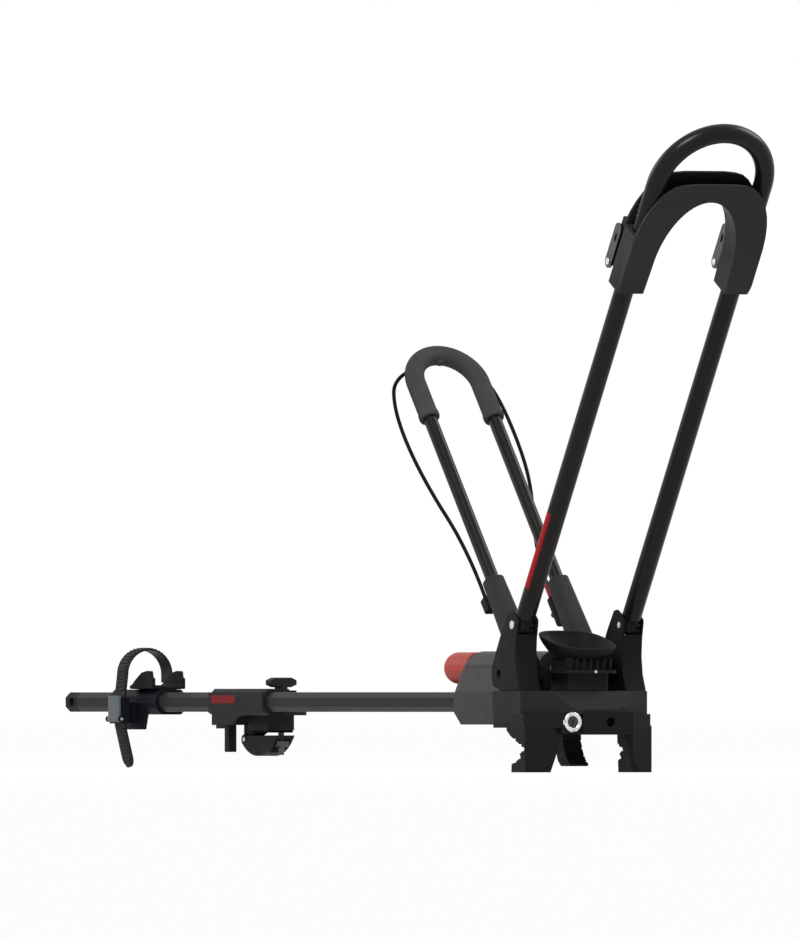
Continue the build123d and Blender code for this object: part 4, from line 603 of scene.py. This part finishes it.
@dataclass(frozen=True)
class HoopPlane:
    """The plane of a leaning hoop: across, along its legs and ahead of them."""

    pivot_x: float
    pivot_z: float
    lean: float

    @property
    def along(self) -> Points:
        """The direction up the legs."""
        angle = math.radians(self.lean)
        return np.array([math.sin(angle), 0.0, math.cos(angle)])

    @property
    def ahead(self) -> Points:
        """The direction at right angles to the hoop, to the front."""
        angle = math.radians(self.lean)
        return np.array([math.cos(angle), 0.0, -math.sin(angle)])

    def place(self, local: Points) -> Points:
        """Turns (across, along, ahead) places into the carrier's frame.

        Args:
            local: (..., 3) places.

        Returns:
            (..., 3) points.
        """
        origin = np.array([self.pivot_x, 0.0, self.pivot_z])
        side = np.array([0.0, 1.0, 0.0])
        return (
            origin + local[..., :1] * side + local[..., 1:2] * self.along + local[..., 2:3] * self.ahead
        )

    def arch(self, half: float, start: float, straight: float, steps: int = 72) -> Points:
        """A hoop's middle line: up one leg, half a circle over, and down the other leg.

        Args:
            half: half the distance between the legs.
            start: where the legs begin.
            straight: where the half circle begins.
            steps: points on the half circle.

        Returns:
            (n, 3) points.
        """
        turn = np.linspace(np.pi, 0, steps)
        over = np.stack([half * np.cos(turn), straight + half * np.sin(turn), 0 * turn], axis=1)
        leg = np.linspace(start, straight, 24)[:-1]
        up = np.stack([np.full_like(leg, -half), leg, 0 * leg], axis=1)
        down = np.stack([np.full_like(leg, half), leg[::-1], 0 * leg], axis=1)
        return self.place(np.concatenate([up, over, down]))


FRONT_PLANE = HoopPlane(0.0, 0.141, 32.3)
REAR_PLANE = HoopPlane(-0.038, 0.077, -39.2)


# Sub-assemblies


@dataclass
class Rail:
    """The rail and its tail cap."""

    body: str = "head"

    def build(self) -> None:
        """Builds the rail and the cap."""
        softened("main_rail", RAIL_PAINT, self.body, 0.0007)
        softened("rail_end_cap", DARK_PLASTIC, self.body, 0.0009)


@dataclass
class Head:
    """The base with its claws, the cover, both towers and the lock."""

    body: str = "head"
    plain: dict[str, Finish] = field(default_factory=lambda: {
        "front_hoop_pins": ZINC, "rear_hoop_bolts": ZINC,
        "seat_pad_right": PAD_RUBBER, "seat_pad_left": PAD_RUBBER,
    })

    def build(self) -> None:
        """Builds the head's shells and dresses its small pieces."""
        softened("head_base", DARK_PLASTIC, self.body, 0.0022)
        softened("head_cover", COVER_PLASTIC, self.body, 0.0024)
        for side in Side:
            softened(f"tower_{side.name.lower()}", TOWER_PLASTIC, self.body, 0.0016)
        softened("front_block", DARK_PLASTIC, self.body, 0.0006)
        softened("lock_ring", CHROME, self.body, 0.0005)
        softened("lock_core", LOCK_DARK, "core", 0.0004)
        for node, finish in self.plain.items():
            dress(node, finish)


@dataclass
class FrontHoop:
    """The tall hoop with its plain red stripe and tick marks."""

    body: str = "front_frame"
    half: float = 0.0787
    start: float = 0.0130
    straight: float = 0.672
    radius: float = 0.0127
    stripe_low: float = 0.058
    stripe_high: float = 0.172
    stripe_angle: float = -88.0
    stripe_width: float = 0.86
    tick_angle: float = -116.0
    tick_width: float = 0.20
    leg_ticks: tuple = (0.452, 0.460, 0.468, 0.476, 0.484)
    top_ticks: tuple = (0.622, 0.630, 0.638)
    tick_longs: tuple = (0.0011, 0.0016)
    top_tick_long: float = 0.0014
    film_lift: float = 0.00015

    def tube(self) -> None:
        """The bent tube: a circle carried along the hoop's middle line."""
        path = FRONT_PLANE.arch(self.half, self.start, self.straight)
        points, faces = swept(path, FRONT_PLANE.ahead, circle(self.radius, 48))
        publish("front_hoop_tube", points, faces, TUBE_PAINT, self.body, ("front_hoop",), 50.0)

    def film(
        self, name: str, finish: Finish, low: float, high: float, middle: float, width: float, across: float
    ) -> None:
        """A film that lies on a leg: a patch of a cylinder a hair wider than the tube.

        Args:
            name: the piece's name.
            finish: the print.
            low: the patch's lower end along the leg.
            high: its upper end.
            middle: the angle of its middle, from straight ahead towards the side.
            width: the angle that it covers.
            across: the leg's place across.
        """
        height = np.linspace(low, high, 40)[:, None]
        angle = np.linspace(middle - width / 2, middle + width / 2, 16)[None, :]
        radius = self.radius + self.film_lift
        local = np.stack(
            [
                across + radius * np.sin(angle) + 0 * height,
                height + 0 * angle,
                radius * np.cos(angle) + 0 * height,
            ],
            axis=-1,
        )
        publish(name, FRONT_PLANE.place(local), grid_faces(40, 16, False), finish, self.body, (), 60.0)

    def build(self) -> None:
        """Builds the tube, its plugs and its films."""
        self.tube()
        softened("front_hoop_plugs", DARK_PLASTIC, self.body, 0.0)
        leg = Side.RIGHT.value * self.half
        middle = math.radians(self.stripe_angle)
        self.film("leg_stripe", RED_FILM, self.stripe_low, self.stripe_high, middle, self.stripe_width, leg)
        middle = math.radians(self.tick_angle)
        for number, low in enumerate(self.leg_ticks):
            high = low + self.tick_longs[number % 2]
            self.film(f"leg_tick_{number}", PALE_FILM, low, high, middle, self.tick_width, leg)
        for number, low in enumerate(self.top_ticks):
            high = low + self.top_tick_long
            self.film(f"top_tick_{number}", PALE_FILM, low, high, middle, self.tick_width, leg)


@dataclass
class Saddle:
    """The tyre saddle and its two latches."""

    body: str = "saddle"

    def build(self) -> None:
        """Builds the saddle's shells and the latches."""
        softened("tyre_saddle", SADDLE_PLASTIC, self.body, 0.0018)
        softened("saddle_back_plate", SADDLE_PLASTIC, self.body, 0.0012)
        softened("latch_bases", DARK_PLASTIC, self.body, 0.0010)
        for side in Side:
            word = side.name.lower()
            softened(f"latch_lever_{word}", DARK_STEEL, f"latch_{word}", 0.0006)
        softened("latch_rivets", ZINC, self.body, 0.0006)


@dataclass
class RearHoop:
    """The short hoop with its grip, boots, lock and cables."""

    body: str = "rear_frame"
    half: float = 0.048
    start: float = 0.0402
    straight: float = 0.491
    radius: float = 0.009
    grip_start: float = 0.431
    grip_radius: float = 0.013
    lip_radius: float = 0.014
    lip_length: float = 0.009
    tab_across: float = 0.0075
    tab_ahead: float = 0.0055
    tab_root: float = 0.0012
    tab_height: float = 0.0042
    lip_blur: float = 0.0004
    end_length: float = 0.0010
    end_inset: float = 0.0009
    cable_diameter: float = 0.005
    route_right: tuple = (
        (-49.2, 517.5, -8.8), (-70.0, 508.0, -14.0), (-81.0, 470.0, -18.0), (-84.0, 420.0, -19.5),
        (-80.5, 365.0, -20.0), (-72.0, 310.0, -20.5), (-61.0, 262.0, -21.0), (-54.5, 212.0, -22.5),
        (-52.0, 168.0, -24.5), (-52.5, 146.0, -24.8),
    )
    route_left: tuple = (
        (49.2, 517.5, -8.8), (70.0, 508.0, -14.0), (80.5, 470.0, -18.0), (83.5, 420.0, -19.5),
        (82.0, 370.0, -20.0), (75.5, 325.0, -21.0), (64.0, 282.0, -23.0), (54.8, 238.0, -26.0),
        (50.6, 196.0, -28.6), (50.5, 174.0, -29.0),
    )

    def tube(self) -> None:
        """The bent tube: a circle carried along the hoop's middle line."""
        path = REAR_PLANE.arch(self.half, self.start, self.straight)
        points, faces = swept(path, REAR_PLANE.ahead, circle(self.radius, 40))
        publish("rear_hoop_tube", points, faces, TUBE_PAINT, self.body, ("rear_hoop",), 50.0)

    def grip(self) -> None:
        """The rubber grip: a ring along the hoop that is wider at both lips, and a tab under the apex."""
        path = REAR_PLANE.arch(self.half, self.grip_start, self.straight, 96)
        step = np.r_[0, np.cumsum(np.linalg.norm(np.diff(path, axis=0), axis=1))]
        near = np.minimum(step, step[-1] - step)
        lip = 1 / (1 + np.exp((near - self.lip_length) / self.lip_blur))
        edge = np.clip(1 - near / self.end_length, 0, 1)
        wider = (self.lip_radius - self.grip_radius) * lip
        radius = self.grip_radius - INSET + wider - self.end_inset * edge**2
        points, faces = swept(path, REAR_PLANE.ahead, circle(radius, 48))
        publish("hoop_grip_rubber", points, faces, GRIP_RUBBER, self.body, ("hoop_grip",), 50.0)
        # Tab under the apex: a half lens that comes out of the rubber
        rings, around = 7, 24
        turn = np.linspace(0, 2 * np.pi, around, endpoint=False)[None, :]
        rise = np.linspace(0, 1, rings)[:, None]
        size = np.sqrt(np.clip(1 - rise**2, 0, 1))
        apex = self.straight + self.half - self.grip_radius
        local = np.stack(
            [
                self.tab_across * size * np.cos(turn),
                apex + self.tab_root - self.tab_height * rise + 0 * turn,
                self.tab_ahead * size * np.sin(turn),
            ],
            axis=-1,
        )
        faces = grid_faces(rings, around)
        faces.append(list(range(around)))
        publish("hoop_grip_tab", REAR_PLANE.place(local), faces, GRIP_RUBBER, self.body, (), 60.0)

    def cable(self, name: str, route: tuple, node: str, length: float) -> None:
        """One end of the lock cable: a smooth spline whose control points are the solid's own route.

        Args:
            name: the piece's name.
            route: (across, along, ahead) places in millimetres.
            node: the solid that it replaces.
            length: the real length.
        """
        points = REAR_PLANE.place(np.array(route) * MM)
        line = bpy.data.curves.new(name, "CURVE")
        line.dimensions = "3D"
        line.bevel_depth = self.cable_diameter / 2
        line.bevel_resolution = 6
        line.resolution_u = 12
        line.use_fill_caps = True
        spline = line.splines.new("NURBS")
        spline.points.add(len(points) - 1)
        spline.points.foreach_set("co", np.c_[points, np.ones(len(points))].ravel())
        spline.order_u = 3
        spline.use_endpoint_u = True
        line.materials.append(CABLE_SHEATH.material())
        piece = bpy.data.objects.new(name, line)
        bpy.context.scene.collection.objects.link(piece)
        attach(piece, self.body)
        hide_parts(node)
        LOG.info("%s: cable of %.0f mm on %s", name, length * 1000, self.body)

    def build(self) -> None:
        """Builds the cables first, then the tube, the grip and the small pieces."""
        self.cable("cable_right", self.route_right, "lock_cable_right", 0.388)
        self.cable("cable_left", self.route_left, "lock_cable_left", 0.361)
        self.tube()
        self.grip()
        for side in Side:
            softened(f"boot_{side.name.lower()}", BOOT_PLASTIC, self.body, 0.0010)
        softened("cable_clip", DARK_PLASTIC, self.body, 0.0008)
        softened("lock_body", DARK_PLASTIC, self.body, 0.0008)
        softened("lock_button", WINE_PLASTIC, "button", 0.0006)
        softened("cable_ferrule", WINE_PLASTIC, self.body, 0.0006)


@dataclass
class HeadClamp:
    """The housing, the screw with its red knob, and the centre jaw."""

    knob_face: float = -0.2643
    knob_ball: float = -0.317
    screw_z: float = 0.085
    knob_radius: float = 0.021
    grooves: int = 12
    groove_depth: float = 0.00022
    groove_power: float = 1.5
    fade_start: float = 0.012
    fade_length: float = 0.014
    edge_length: float = 0.0010
    edge_insets: tuple = (0.0012, 0.0002)
    around: int = 180
    straight_rings: int = 26
    dome_rings: int = 22

    def knob(self) -> None:
        """The knob: a turned outline with flutes.

        The radius at a place along the screw is the outline's, less a flute that follows a raised cosine
        round the knob and fades over the dome.
        """
        ball = self.knob_radius - INSET
        dome = np.linspace(0, np.pi / 2, self.dome_rings)
        straight = np.linspace(self.knob_face, self.knob_ball, self.straight_rings)
        x = np.r_[straight, self.knob_ball - ball * np.sin(dome[1:])]
        outline = np.r_[np.full(self.straight_rings, ball), ball * np.cos(dome[1:])]
        outline[:2] -= self.edge_insets
        x[1] = x[0] - self.edge_length
        angle = np.linspace(0, 2 * np.pi, self.around, endpoint=False)
        flute = np.clip(np.cos(self.grooves * angle), 0, 1) ** self.groove_power
        fade = np.clip((x - self.knob_ball + self.fade_start) / self.fade_length, 0, 1)
        fade = fade * fade * (3 - 2 * fade)
        radius = outline[:, None] - self.groove_depth * flute[None, :] * fade[:, None]
        radius[-1] = 0.0
        points = np.stack(
            [x[:, None] + 0 * angle, radius * np.cos(angle), self.screw_z + radius * np.sin(angle)], axis=-1
        )
        faces = grid_faces(len(x), self.around)
        faces.append(list(range(self.around)))
        publish("knob_red", points, faces, RED_PLASTIC, "knob", ("clamp_knob",), 40.0)

    def build(self) -> None:
        """Builds the knob and the shells."""
        self.knob()
        softened("clamp_housing", HOUSING_PLASTIC, "head", 0.0024)
        softened("centre_jaw", DARK_PLASTIC, "jaw", 0.0008)
        softened("jaw_carriage", ZINC, "jaw", 0.0006)
        dress("clamp_screw", ZINC)


@dataclass
class WheelCradle:
    """The tilted dish for the front tyre, on its ribbed foot."""

    body: str = "head"
    length: float = 0.0951
    width: float = 0.092
    middle: tuple[float, float, float] = (0.004, 0.0, 0.122)
    long_side: tuple[float, float, float] = (0.9676, 0.0, -0.2524)
    up: tuple[float, float, float] = (0.2524, 0.0, 0.9676)

    def build(self) -> None:
        """Builds the dish, the foot and the screw.

        The dish is a ring of a rounded rectangle carried down the outside, over the lip and down the inside.
        A ring's point at an angle is the half sizes times the sign-kept power of cosine and sine.
        """
        levels = np.array([
            (0.00, 0.00, -30.0, 2.2), (0.30, 0.30, -30.0, 2.2), (0.49, 0.49, -30.0, 2.3),
            (0.525, 0.52, -29.4, 2.3), (0.64, 0.63, -25.2, 2.5), (0.78, 0.77, -18.0, 2.7),
            (0.90, 0.89, -11.0, 2.9), (0.95, 0.94, -7.2, 3.0), (0.985, 0.985, -3.4, 3.0),
            (0.998, 0.998, -1.5, 3.0), (1.00, 1.00, -0.7, 3.0), (0.993, 0.993, -0.1, 3.0),
            (0.975, 0.975, 0.0, 3.0), (0.952, 0.95, -0.2, 3.0), (0.938, 0.93, -1.0, 3.0),
            (0.925, 0.915, -2.6, 3.0), (0.86, 0.85, -7.6, 2.9), (0.76, 0.75, -13.4, 2.7),
            (0.62, 0.61, -20.0, 2.5), (0.50, 0.49, -24.6, 2.3),
            (0.43, 0.42, -26.6, 2.2), (0.25, 0.25, -27.0, 2.2), (0.00, 0.00, -27.0, 2.2),
        ])
        angle = np.linspace(0, 2 * np.pi, 120, endpoint=False)[None, :]
        power = 2 / levels[:, 3:4]
        long = levels[:, :1] * self.length / 2 * np.sign(np.cos(angle)) * np.abs(np.cos(angle)) ** power
        wide = levels[:, 1:2] * self.width / 2 * np.sign(np.sin(angle)) * np.abs(np.sin(angle)) ** power
        high = levels[:, 2:3] * MM + 0 * angle
        points = (
            np.array(self.middle) + long[..., None] * np.array(self.long_side)
            + wide[..., None] * np.array([0.0, 1.0, 0.0]) + high[..., None] * np.array(self.up)
        )
        faces = grid_faces(len(levels), 120)
        publish("cradle_dish", points, faces, CRADLE_PLASTIC, self.body, ("wheel_cradle",), 60.0)
        softened("cradle_foot", DARK_PLASTIC, self.body, 0.0008)
        dress("cradle_screw", ZINC)


@dataclass
class RearClamp:
    """The sleeve on the rail with its jaws and T-knob."""

    body: str = "rear_clamp"
    label_rear: float = -0.9610
    label_front: float = -0.8950
    label_low: float = 0.0390
    label_high: float = 0.0495
    cheek_y: float = -0.0249
    label_lift: float = 0.00018

    def label(self) -> None:
        """A plain red rectangle on the right cheek: a flat sheet a hair off the cheek."""
        y = self.cheek_y - self.label_lift
        x = np.linspace(self.label_rear, self.label_front, 12)[None, :]
        z = np.linspace(self.label_low, self.label_high, 6)[:, None]
        face = np.stack([x + 0 * z, y + 0 * x + 0 * z, z + 0 * x], axis=-1)
        publish("clamp_label", face, grid_faces(6, 12, False), DARK_RED_FILM, self.body, (), 60.0)

    def build(self) -> None:
        """Builds the shells, the label and the bolt."""
        softened("clamp_sleeve", CLAMP_PLASTIC, self.body, 0.0016)
        softened("clamp_upper_jaw", CLAMP_PLASTIC, self.body, 0.0008)
        softened("clamp_seat_pad", PAD_RUBBER, self.body, 0.0004)
        softened("clamp_post", CLAMP_PLASTIC, self.body, 0.0007)
        softened("knob_washer", CLAMP_PLASTIC, self.body, 0.0005)
        softened("clamp_lower_jaw", CLAMP_PLASTIC, "lower_jaw", 0.0008)
        softened("t_knob", CLAMP_PLASTIC, "tee", 0.0010)
        self.label()
        dress("jaw_pin", ZINC)
        dress("clamp_bolt", OILED_STEEL)
        dress("barrel_nut", OILED_STEEL)


@dataclass
class WheelTray:
    """The tray's sleeve, trough, toothed strap and buckle."""

    body: str = "wheel_tray"
    middle_x: float = -1.183
    width: float = 0.028
    thickness: float = 0.0024
    pitch: float = 0.0052
    tooth: float = 0.0013
    arch_y: float = -0.00675
    arch_z: float = 0.077
    arch_radius: float = 0.03325
    root: tuple = (0.0, 0.0265, 0.0665)
    buckle_run: tuple = ((0.0, -0.0435, 0.048), (0.0, -0.0435, 0.010))
    tail: tuple = (-0.0328, -0.033)
    tail_lean: tuple = (0.0035, -0.0135)
    tail_share: float = 0.97
    plain_start: float = 0.014
    tooth_slope: float = 1.6
    buckle_y: float = -0.035
    buckle_low: float = 0.009
    buckle_high: float = 0.053
    edge_share: float = 0.80
    tooth_share: float = 0.78
    tip_least: float = 0.0004
    steps: int = 760
    blur: int = 6

    def strap(self) -> None:
        """The strap: a flat ring carried up the left, over the tyre, through the buckle and down.

        The outer side rises and falls along the path as a squared-off cosine of the tooth pitch, except at
        the plain start, at the buckle and along the two edges. The width closes on a half circle at the tail.
        """
        turn = np.linspace(0, np.pi, 90)
        over = np.stack(
            [
                0 * turn,
                self.arch_y + self.arch_radius * np.cos(turn),
                self.arch_z + self.arch_radius * np.sin(turn),
            ],
            axis=1,
        )
        tip = np.r_[0.0, np.array(self.tail) + np.array(self.tail_lean) * self.tail_share]
        corners = np.concatenate([[self.root], over, self.buckle_run, [tip]])
        path = resampled(corners, self.steps)
        kernel = np.ones(2 * self.blur + 1) / (2 * self.blur + 1)
        padded = [np.pad(path[:, axis], self.blur, "edge") for axis in range(3)]
        smooth = np.stack([np.convolve(line, kernel, "valid") for line in padded], axis=1)
        number = np.arange(self.steps)
        near_end = np.minimum(number, self.steps - 1 - number) <= self.blur
        path = np.where(near_end[:, None], path, smooth)
        step = np.r_[0, np.cumsum(np.linalg.norm(np.diff(path, axis=0), axis=1))]
        wave = np.clip(0.5 + self.tooth_slope * np.cos(2 * np.pi * step / self.pitch), 0, 1) * self.tooth
        in_buckle = (
            (path[:, 1] < self.buckle_y) & (path[:, 2] > self.buckle_low) & (path[:, 2] < self.buckle_high)
        )
        wave = np.where(in_buckle | (step < self.plain_start), 0.0, wave)
        left = step[-1] - step
        reach = 1 - np.clip(left / (self.width / 2), 0, 1)
        half = self.width / 2 * np.sqrt(np.clip(1 - reach**2, self.tip_least, 1))
        inner = np.full_like(step, -self.thickness / 2)
        outer = np.full_like(step, self.thickness / 2)
        edge = half * self.edge_share
        top = half * self.tooth_share
        ring = (
            (inner, -half), (inner, half), (outer, half), (outer, edge),
            (outer + wave, top), (outer + wave, -top), (outer, -edge), (outer, -half),
        )
        rows = np.stack([np.stack(pair, axis=-1) for pair in ring], axis=1)
        points, faces = swept(path + np.array([self.middle_x, 0.0, 0.0]), np.array([1.0, 0.0, 0.0]), -rows)
        publish("toothed_strap", points, faces, STRAP_PLASTIC, self.body, ("wheel_strap",), 25.0)

    def build(self) -> None:
        """Builds the strap and the shells."""
        self.strap()
        softened("tray_sleeve", TRAY_PLASTIC, self.body, 0.0014)
        softened("wheel_trough", TROUGH_PLASTIC, self.body, 0.0014)
        softened("buckle_body", TRAY_PLASTIC, self.body, 0.0006)
        softened("buckle_lever", BUCKLE_PLASTIC, "lever", 0.0008)
        dress("strap_screw", ZINC)
        dress("lever_pin", ZINC)


def seen_rays(tree: bpy.types.NodeTree) -> bpy.types.NodeSocket:
    """A value that is 1 for rays that the camera sees straight, in a mirror or through glass.

    Args:
        tree: the node tree that gets the nodes.

    Returns:
        The value socket.
    """
    rays = tree.nodes.new("ShaderNodeLightPath")
    value = rays.outputs["Is Camera Ray"]
    for kind in ("Is Glossy Ray", "Is Transmission Ray"):
        either = tree.nodes.new("ShaderNodeMath")
        either.operation = "MAXIMUM"
        tree.links.new(value, either.inputs[0])
        tree.links.new(rays.outputs[kind], either.inputs[1])
        value = either.outputs[0]
    return value


@dataclass
class Studio:
    """The pale floor, the lamps and the camera far in front of the right side."""

    lens: float = 1446.0
    distance: float = 49.06
    aim: tuple[float, float, float] = (-0.1076, -0.2025, 0.344)
    towards: tuple[float, float] = (0.8796, -0.4757)
    height: float = 0.042
    floor_reach: float = 80.0
    floor_z: float = -0.0515
    floor_colour: tuple = (0.86, 0.86, 0.86, 1.0)
    floor_glow: float = 1.04
    glow_share: float = 0.93
    sky_colour: tuple = (0.96, 0.98, 1.0, 1.0)
    sky_strength: float = 0.16
    lamp_aim: tuple = (-0.35, 0.0, 0.25)

    def floor(self) -> None:
        """A large plain floor that looks almost white to the camera and keeps the shadow."""
        mesh = bpy.data.meshes.new("studio_floor")
        far, low = self.floor_reach, self.floor_z
        corners = [(-far, -far, low), (far, -far, low), (far, far, low), (-far, far, low)]
        mesh.from_pydata(corners, [], [(0, 1, 2, 3)])
        material = bpy.data.materials.new("studio_floor_white")
        material.use_nodes = True
        tree = material.node_tree
        tree.nodes.clear()
        out = tree.nodes.new("ShaderNodeOutputMaterial")
        diffuse = tree.nodes.new("ShaderNodeBsdfDiffuse")
        diffuse.inputs["Color"].default_value = self.floor_colour
        glow = tree.nodes.new("ShaderNodeEmission")
        glow.inputs["Color"].default_value = (1.0, 1.0, 1.0, 1.0)
        glow.inputs["Strength"].default_value = self.floor_glow
        share = tree.nodes.new("ShaderNodeMath")
        share.operation = "MULTIPLY"
        share.inputs[1].default_value = self.glow_share
        tree.links.new(seen_rays(tree), share.inputs[0])
        mix = tree.nodes.new("ShaderNodeMixShader")
        tree.links.new(share.outputs[0], mix.inputs[0])
        tree.links.new(diffuse.outputs[0], mix.inputs[1])
        tree.links.new(glow.outputs[0], mix.inputs[2])
        tree.links.new(mix.outputs[0], out.inputs["Surface"])
        mesh.materials.append(material)
        floor = bpy.data.objects.new("studio_floor", mesh)
        bpy.context.scene.collection.objects.link(floor)

    def world(self) -> None:
        """A soft grey sky that the camera sees as white."""
        world = bpy.data.worlds.new("studio_sky")
        bpy.context.scene.world = world
        world.use_nodes = True
        tree = world.node_tree
        tree.nodes.clear()
        out = tree.nodes.new("ShaderNodeOutputWorld")
        sky = tree.nodes.new("ShaderNodeBackground")
        sky.inputs["Color"].default_value = self.sky_colour
        sky.inputs["Strength"].default_value = self.sky_strength
        white = tree.nodes.new("ShaderNodeBackground")
        white.inputs["Color"].default_value = (1.0, 1.0, 1.0, 1.0)
        white.inputs["Strength"].default_value = 1.0
        mix = tree.nodes.new("ShaderNodeMixShader")
        tree.links.new(seen_rays(tree), mix.inputs[0])
        tree.links.new(sky.outputs[0], mix.inputs[1])
        tree.links.new(white.outputs[0], mix.inputs[2])
        tree.links.new(mix.outputs[0], out.inputs["Surface"])

    def lamp(self, name: str, place: tuple, size: float, power: float) -> None:
        """A square soft box that looks at the middle of the carrier.

        Args:
            name: the lamp's name.
            place: where it hangs.
            size: its side.
            power: its power in watts.
        """
        light = bpy.data.lights.new(name, "AREA")
        light.size = size
        light.energy = power
        lamp = bpy.data.objects.new(name, light)
        bpy.context.scene.collection.objects.link(lamp)
        lamp.location = place
        aim = bpy.data.objects.new(name + "_aim", None)
        bpy.context.scene.collection.objects.link(aim)
        aim.location = self.lamp_aim
        bpy.context.view_layer.update()
        lamp.rotation_euler = (aim.location - lamp.location).to_track_quat("-Z", "Y").to_euler()
        bpy.data.objects.remove(aim)

    def camera(self) -> None:
        """The camera: low, almost level and very far, as the photograph was taken."""
        lens = bpy.data.cameras.new("photo_camera")
        lens.lens = self.lens
        lens.sensor_fit = "VERTICAL"
        lens.sensor_height = 36.0
        lens.clip_end = 200.0
        camera = bpy.data.objects.new("photo_camera", lens)
        bpy.context.scene.collection.objects.link(camera)
        aim = np.array(self.aim)
        spot = aim + self.distance * np.array([*self.towards, 0.0])
        spot[2] = self.height
        camera.location = spot.tolist()
        look = camera.location.copy()
        look.x, look.y, look.z = (aim - spot).tolist()
        camera.rotation_euler = look.to_track_quat("-Z", "Y").to_euler()
        bpy.context.scene.camera = camera

    def build(self) -> None:
        """Builds the whole studio."""
        self.camera()
        self.floor()
        self.world()
        self.lamp("key_soft_box", (2.4, -2.6, 4.2), 2.2, 215.0)
        self.lamp("fill_soft_box", (-3.6, -2.6, 2.2), 2.4, 48.0)
        self.lamp("back_soft_box", (0.4, 3.6, 3.0), 2.4, 110.0)
        bpy.context.scene.view_settings.view_transform = "Standard"


def main() -> None:
    """Builds the camera and the cords first, then every sub-assembly."""
    logging.basicConfig(level=logging.INFO, format="%(name)s: %(message)s")
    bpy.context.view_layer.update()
    Studio().build()
    assemblies = (
        RearHoop(), Rail(), Head(), FrontHoop(), Saddle(), HeadClamp(),
        WheelCradle(), RearClamp(), WheelTray(),
    )
    for assembly in assemblies:
        assembly.build()
        LOG.info("%s is built", type(assembly).__name__)


if __name__ == "__main__":
    main()
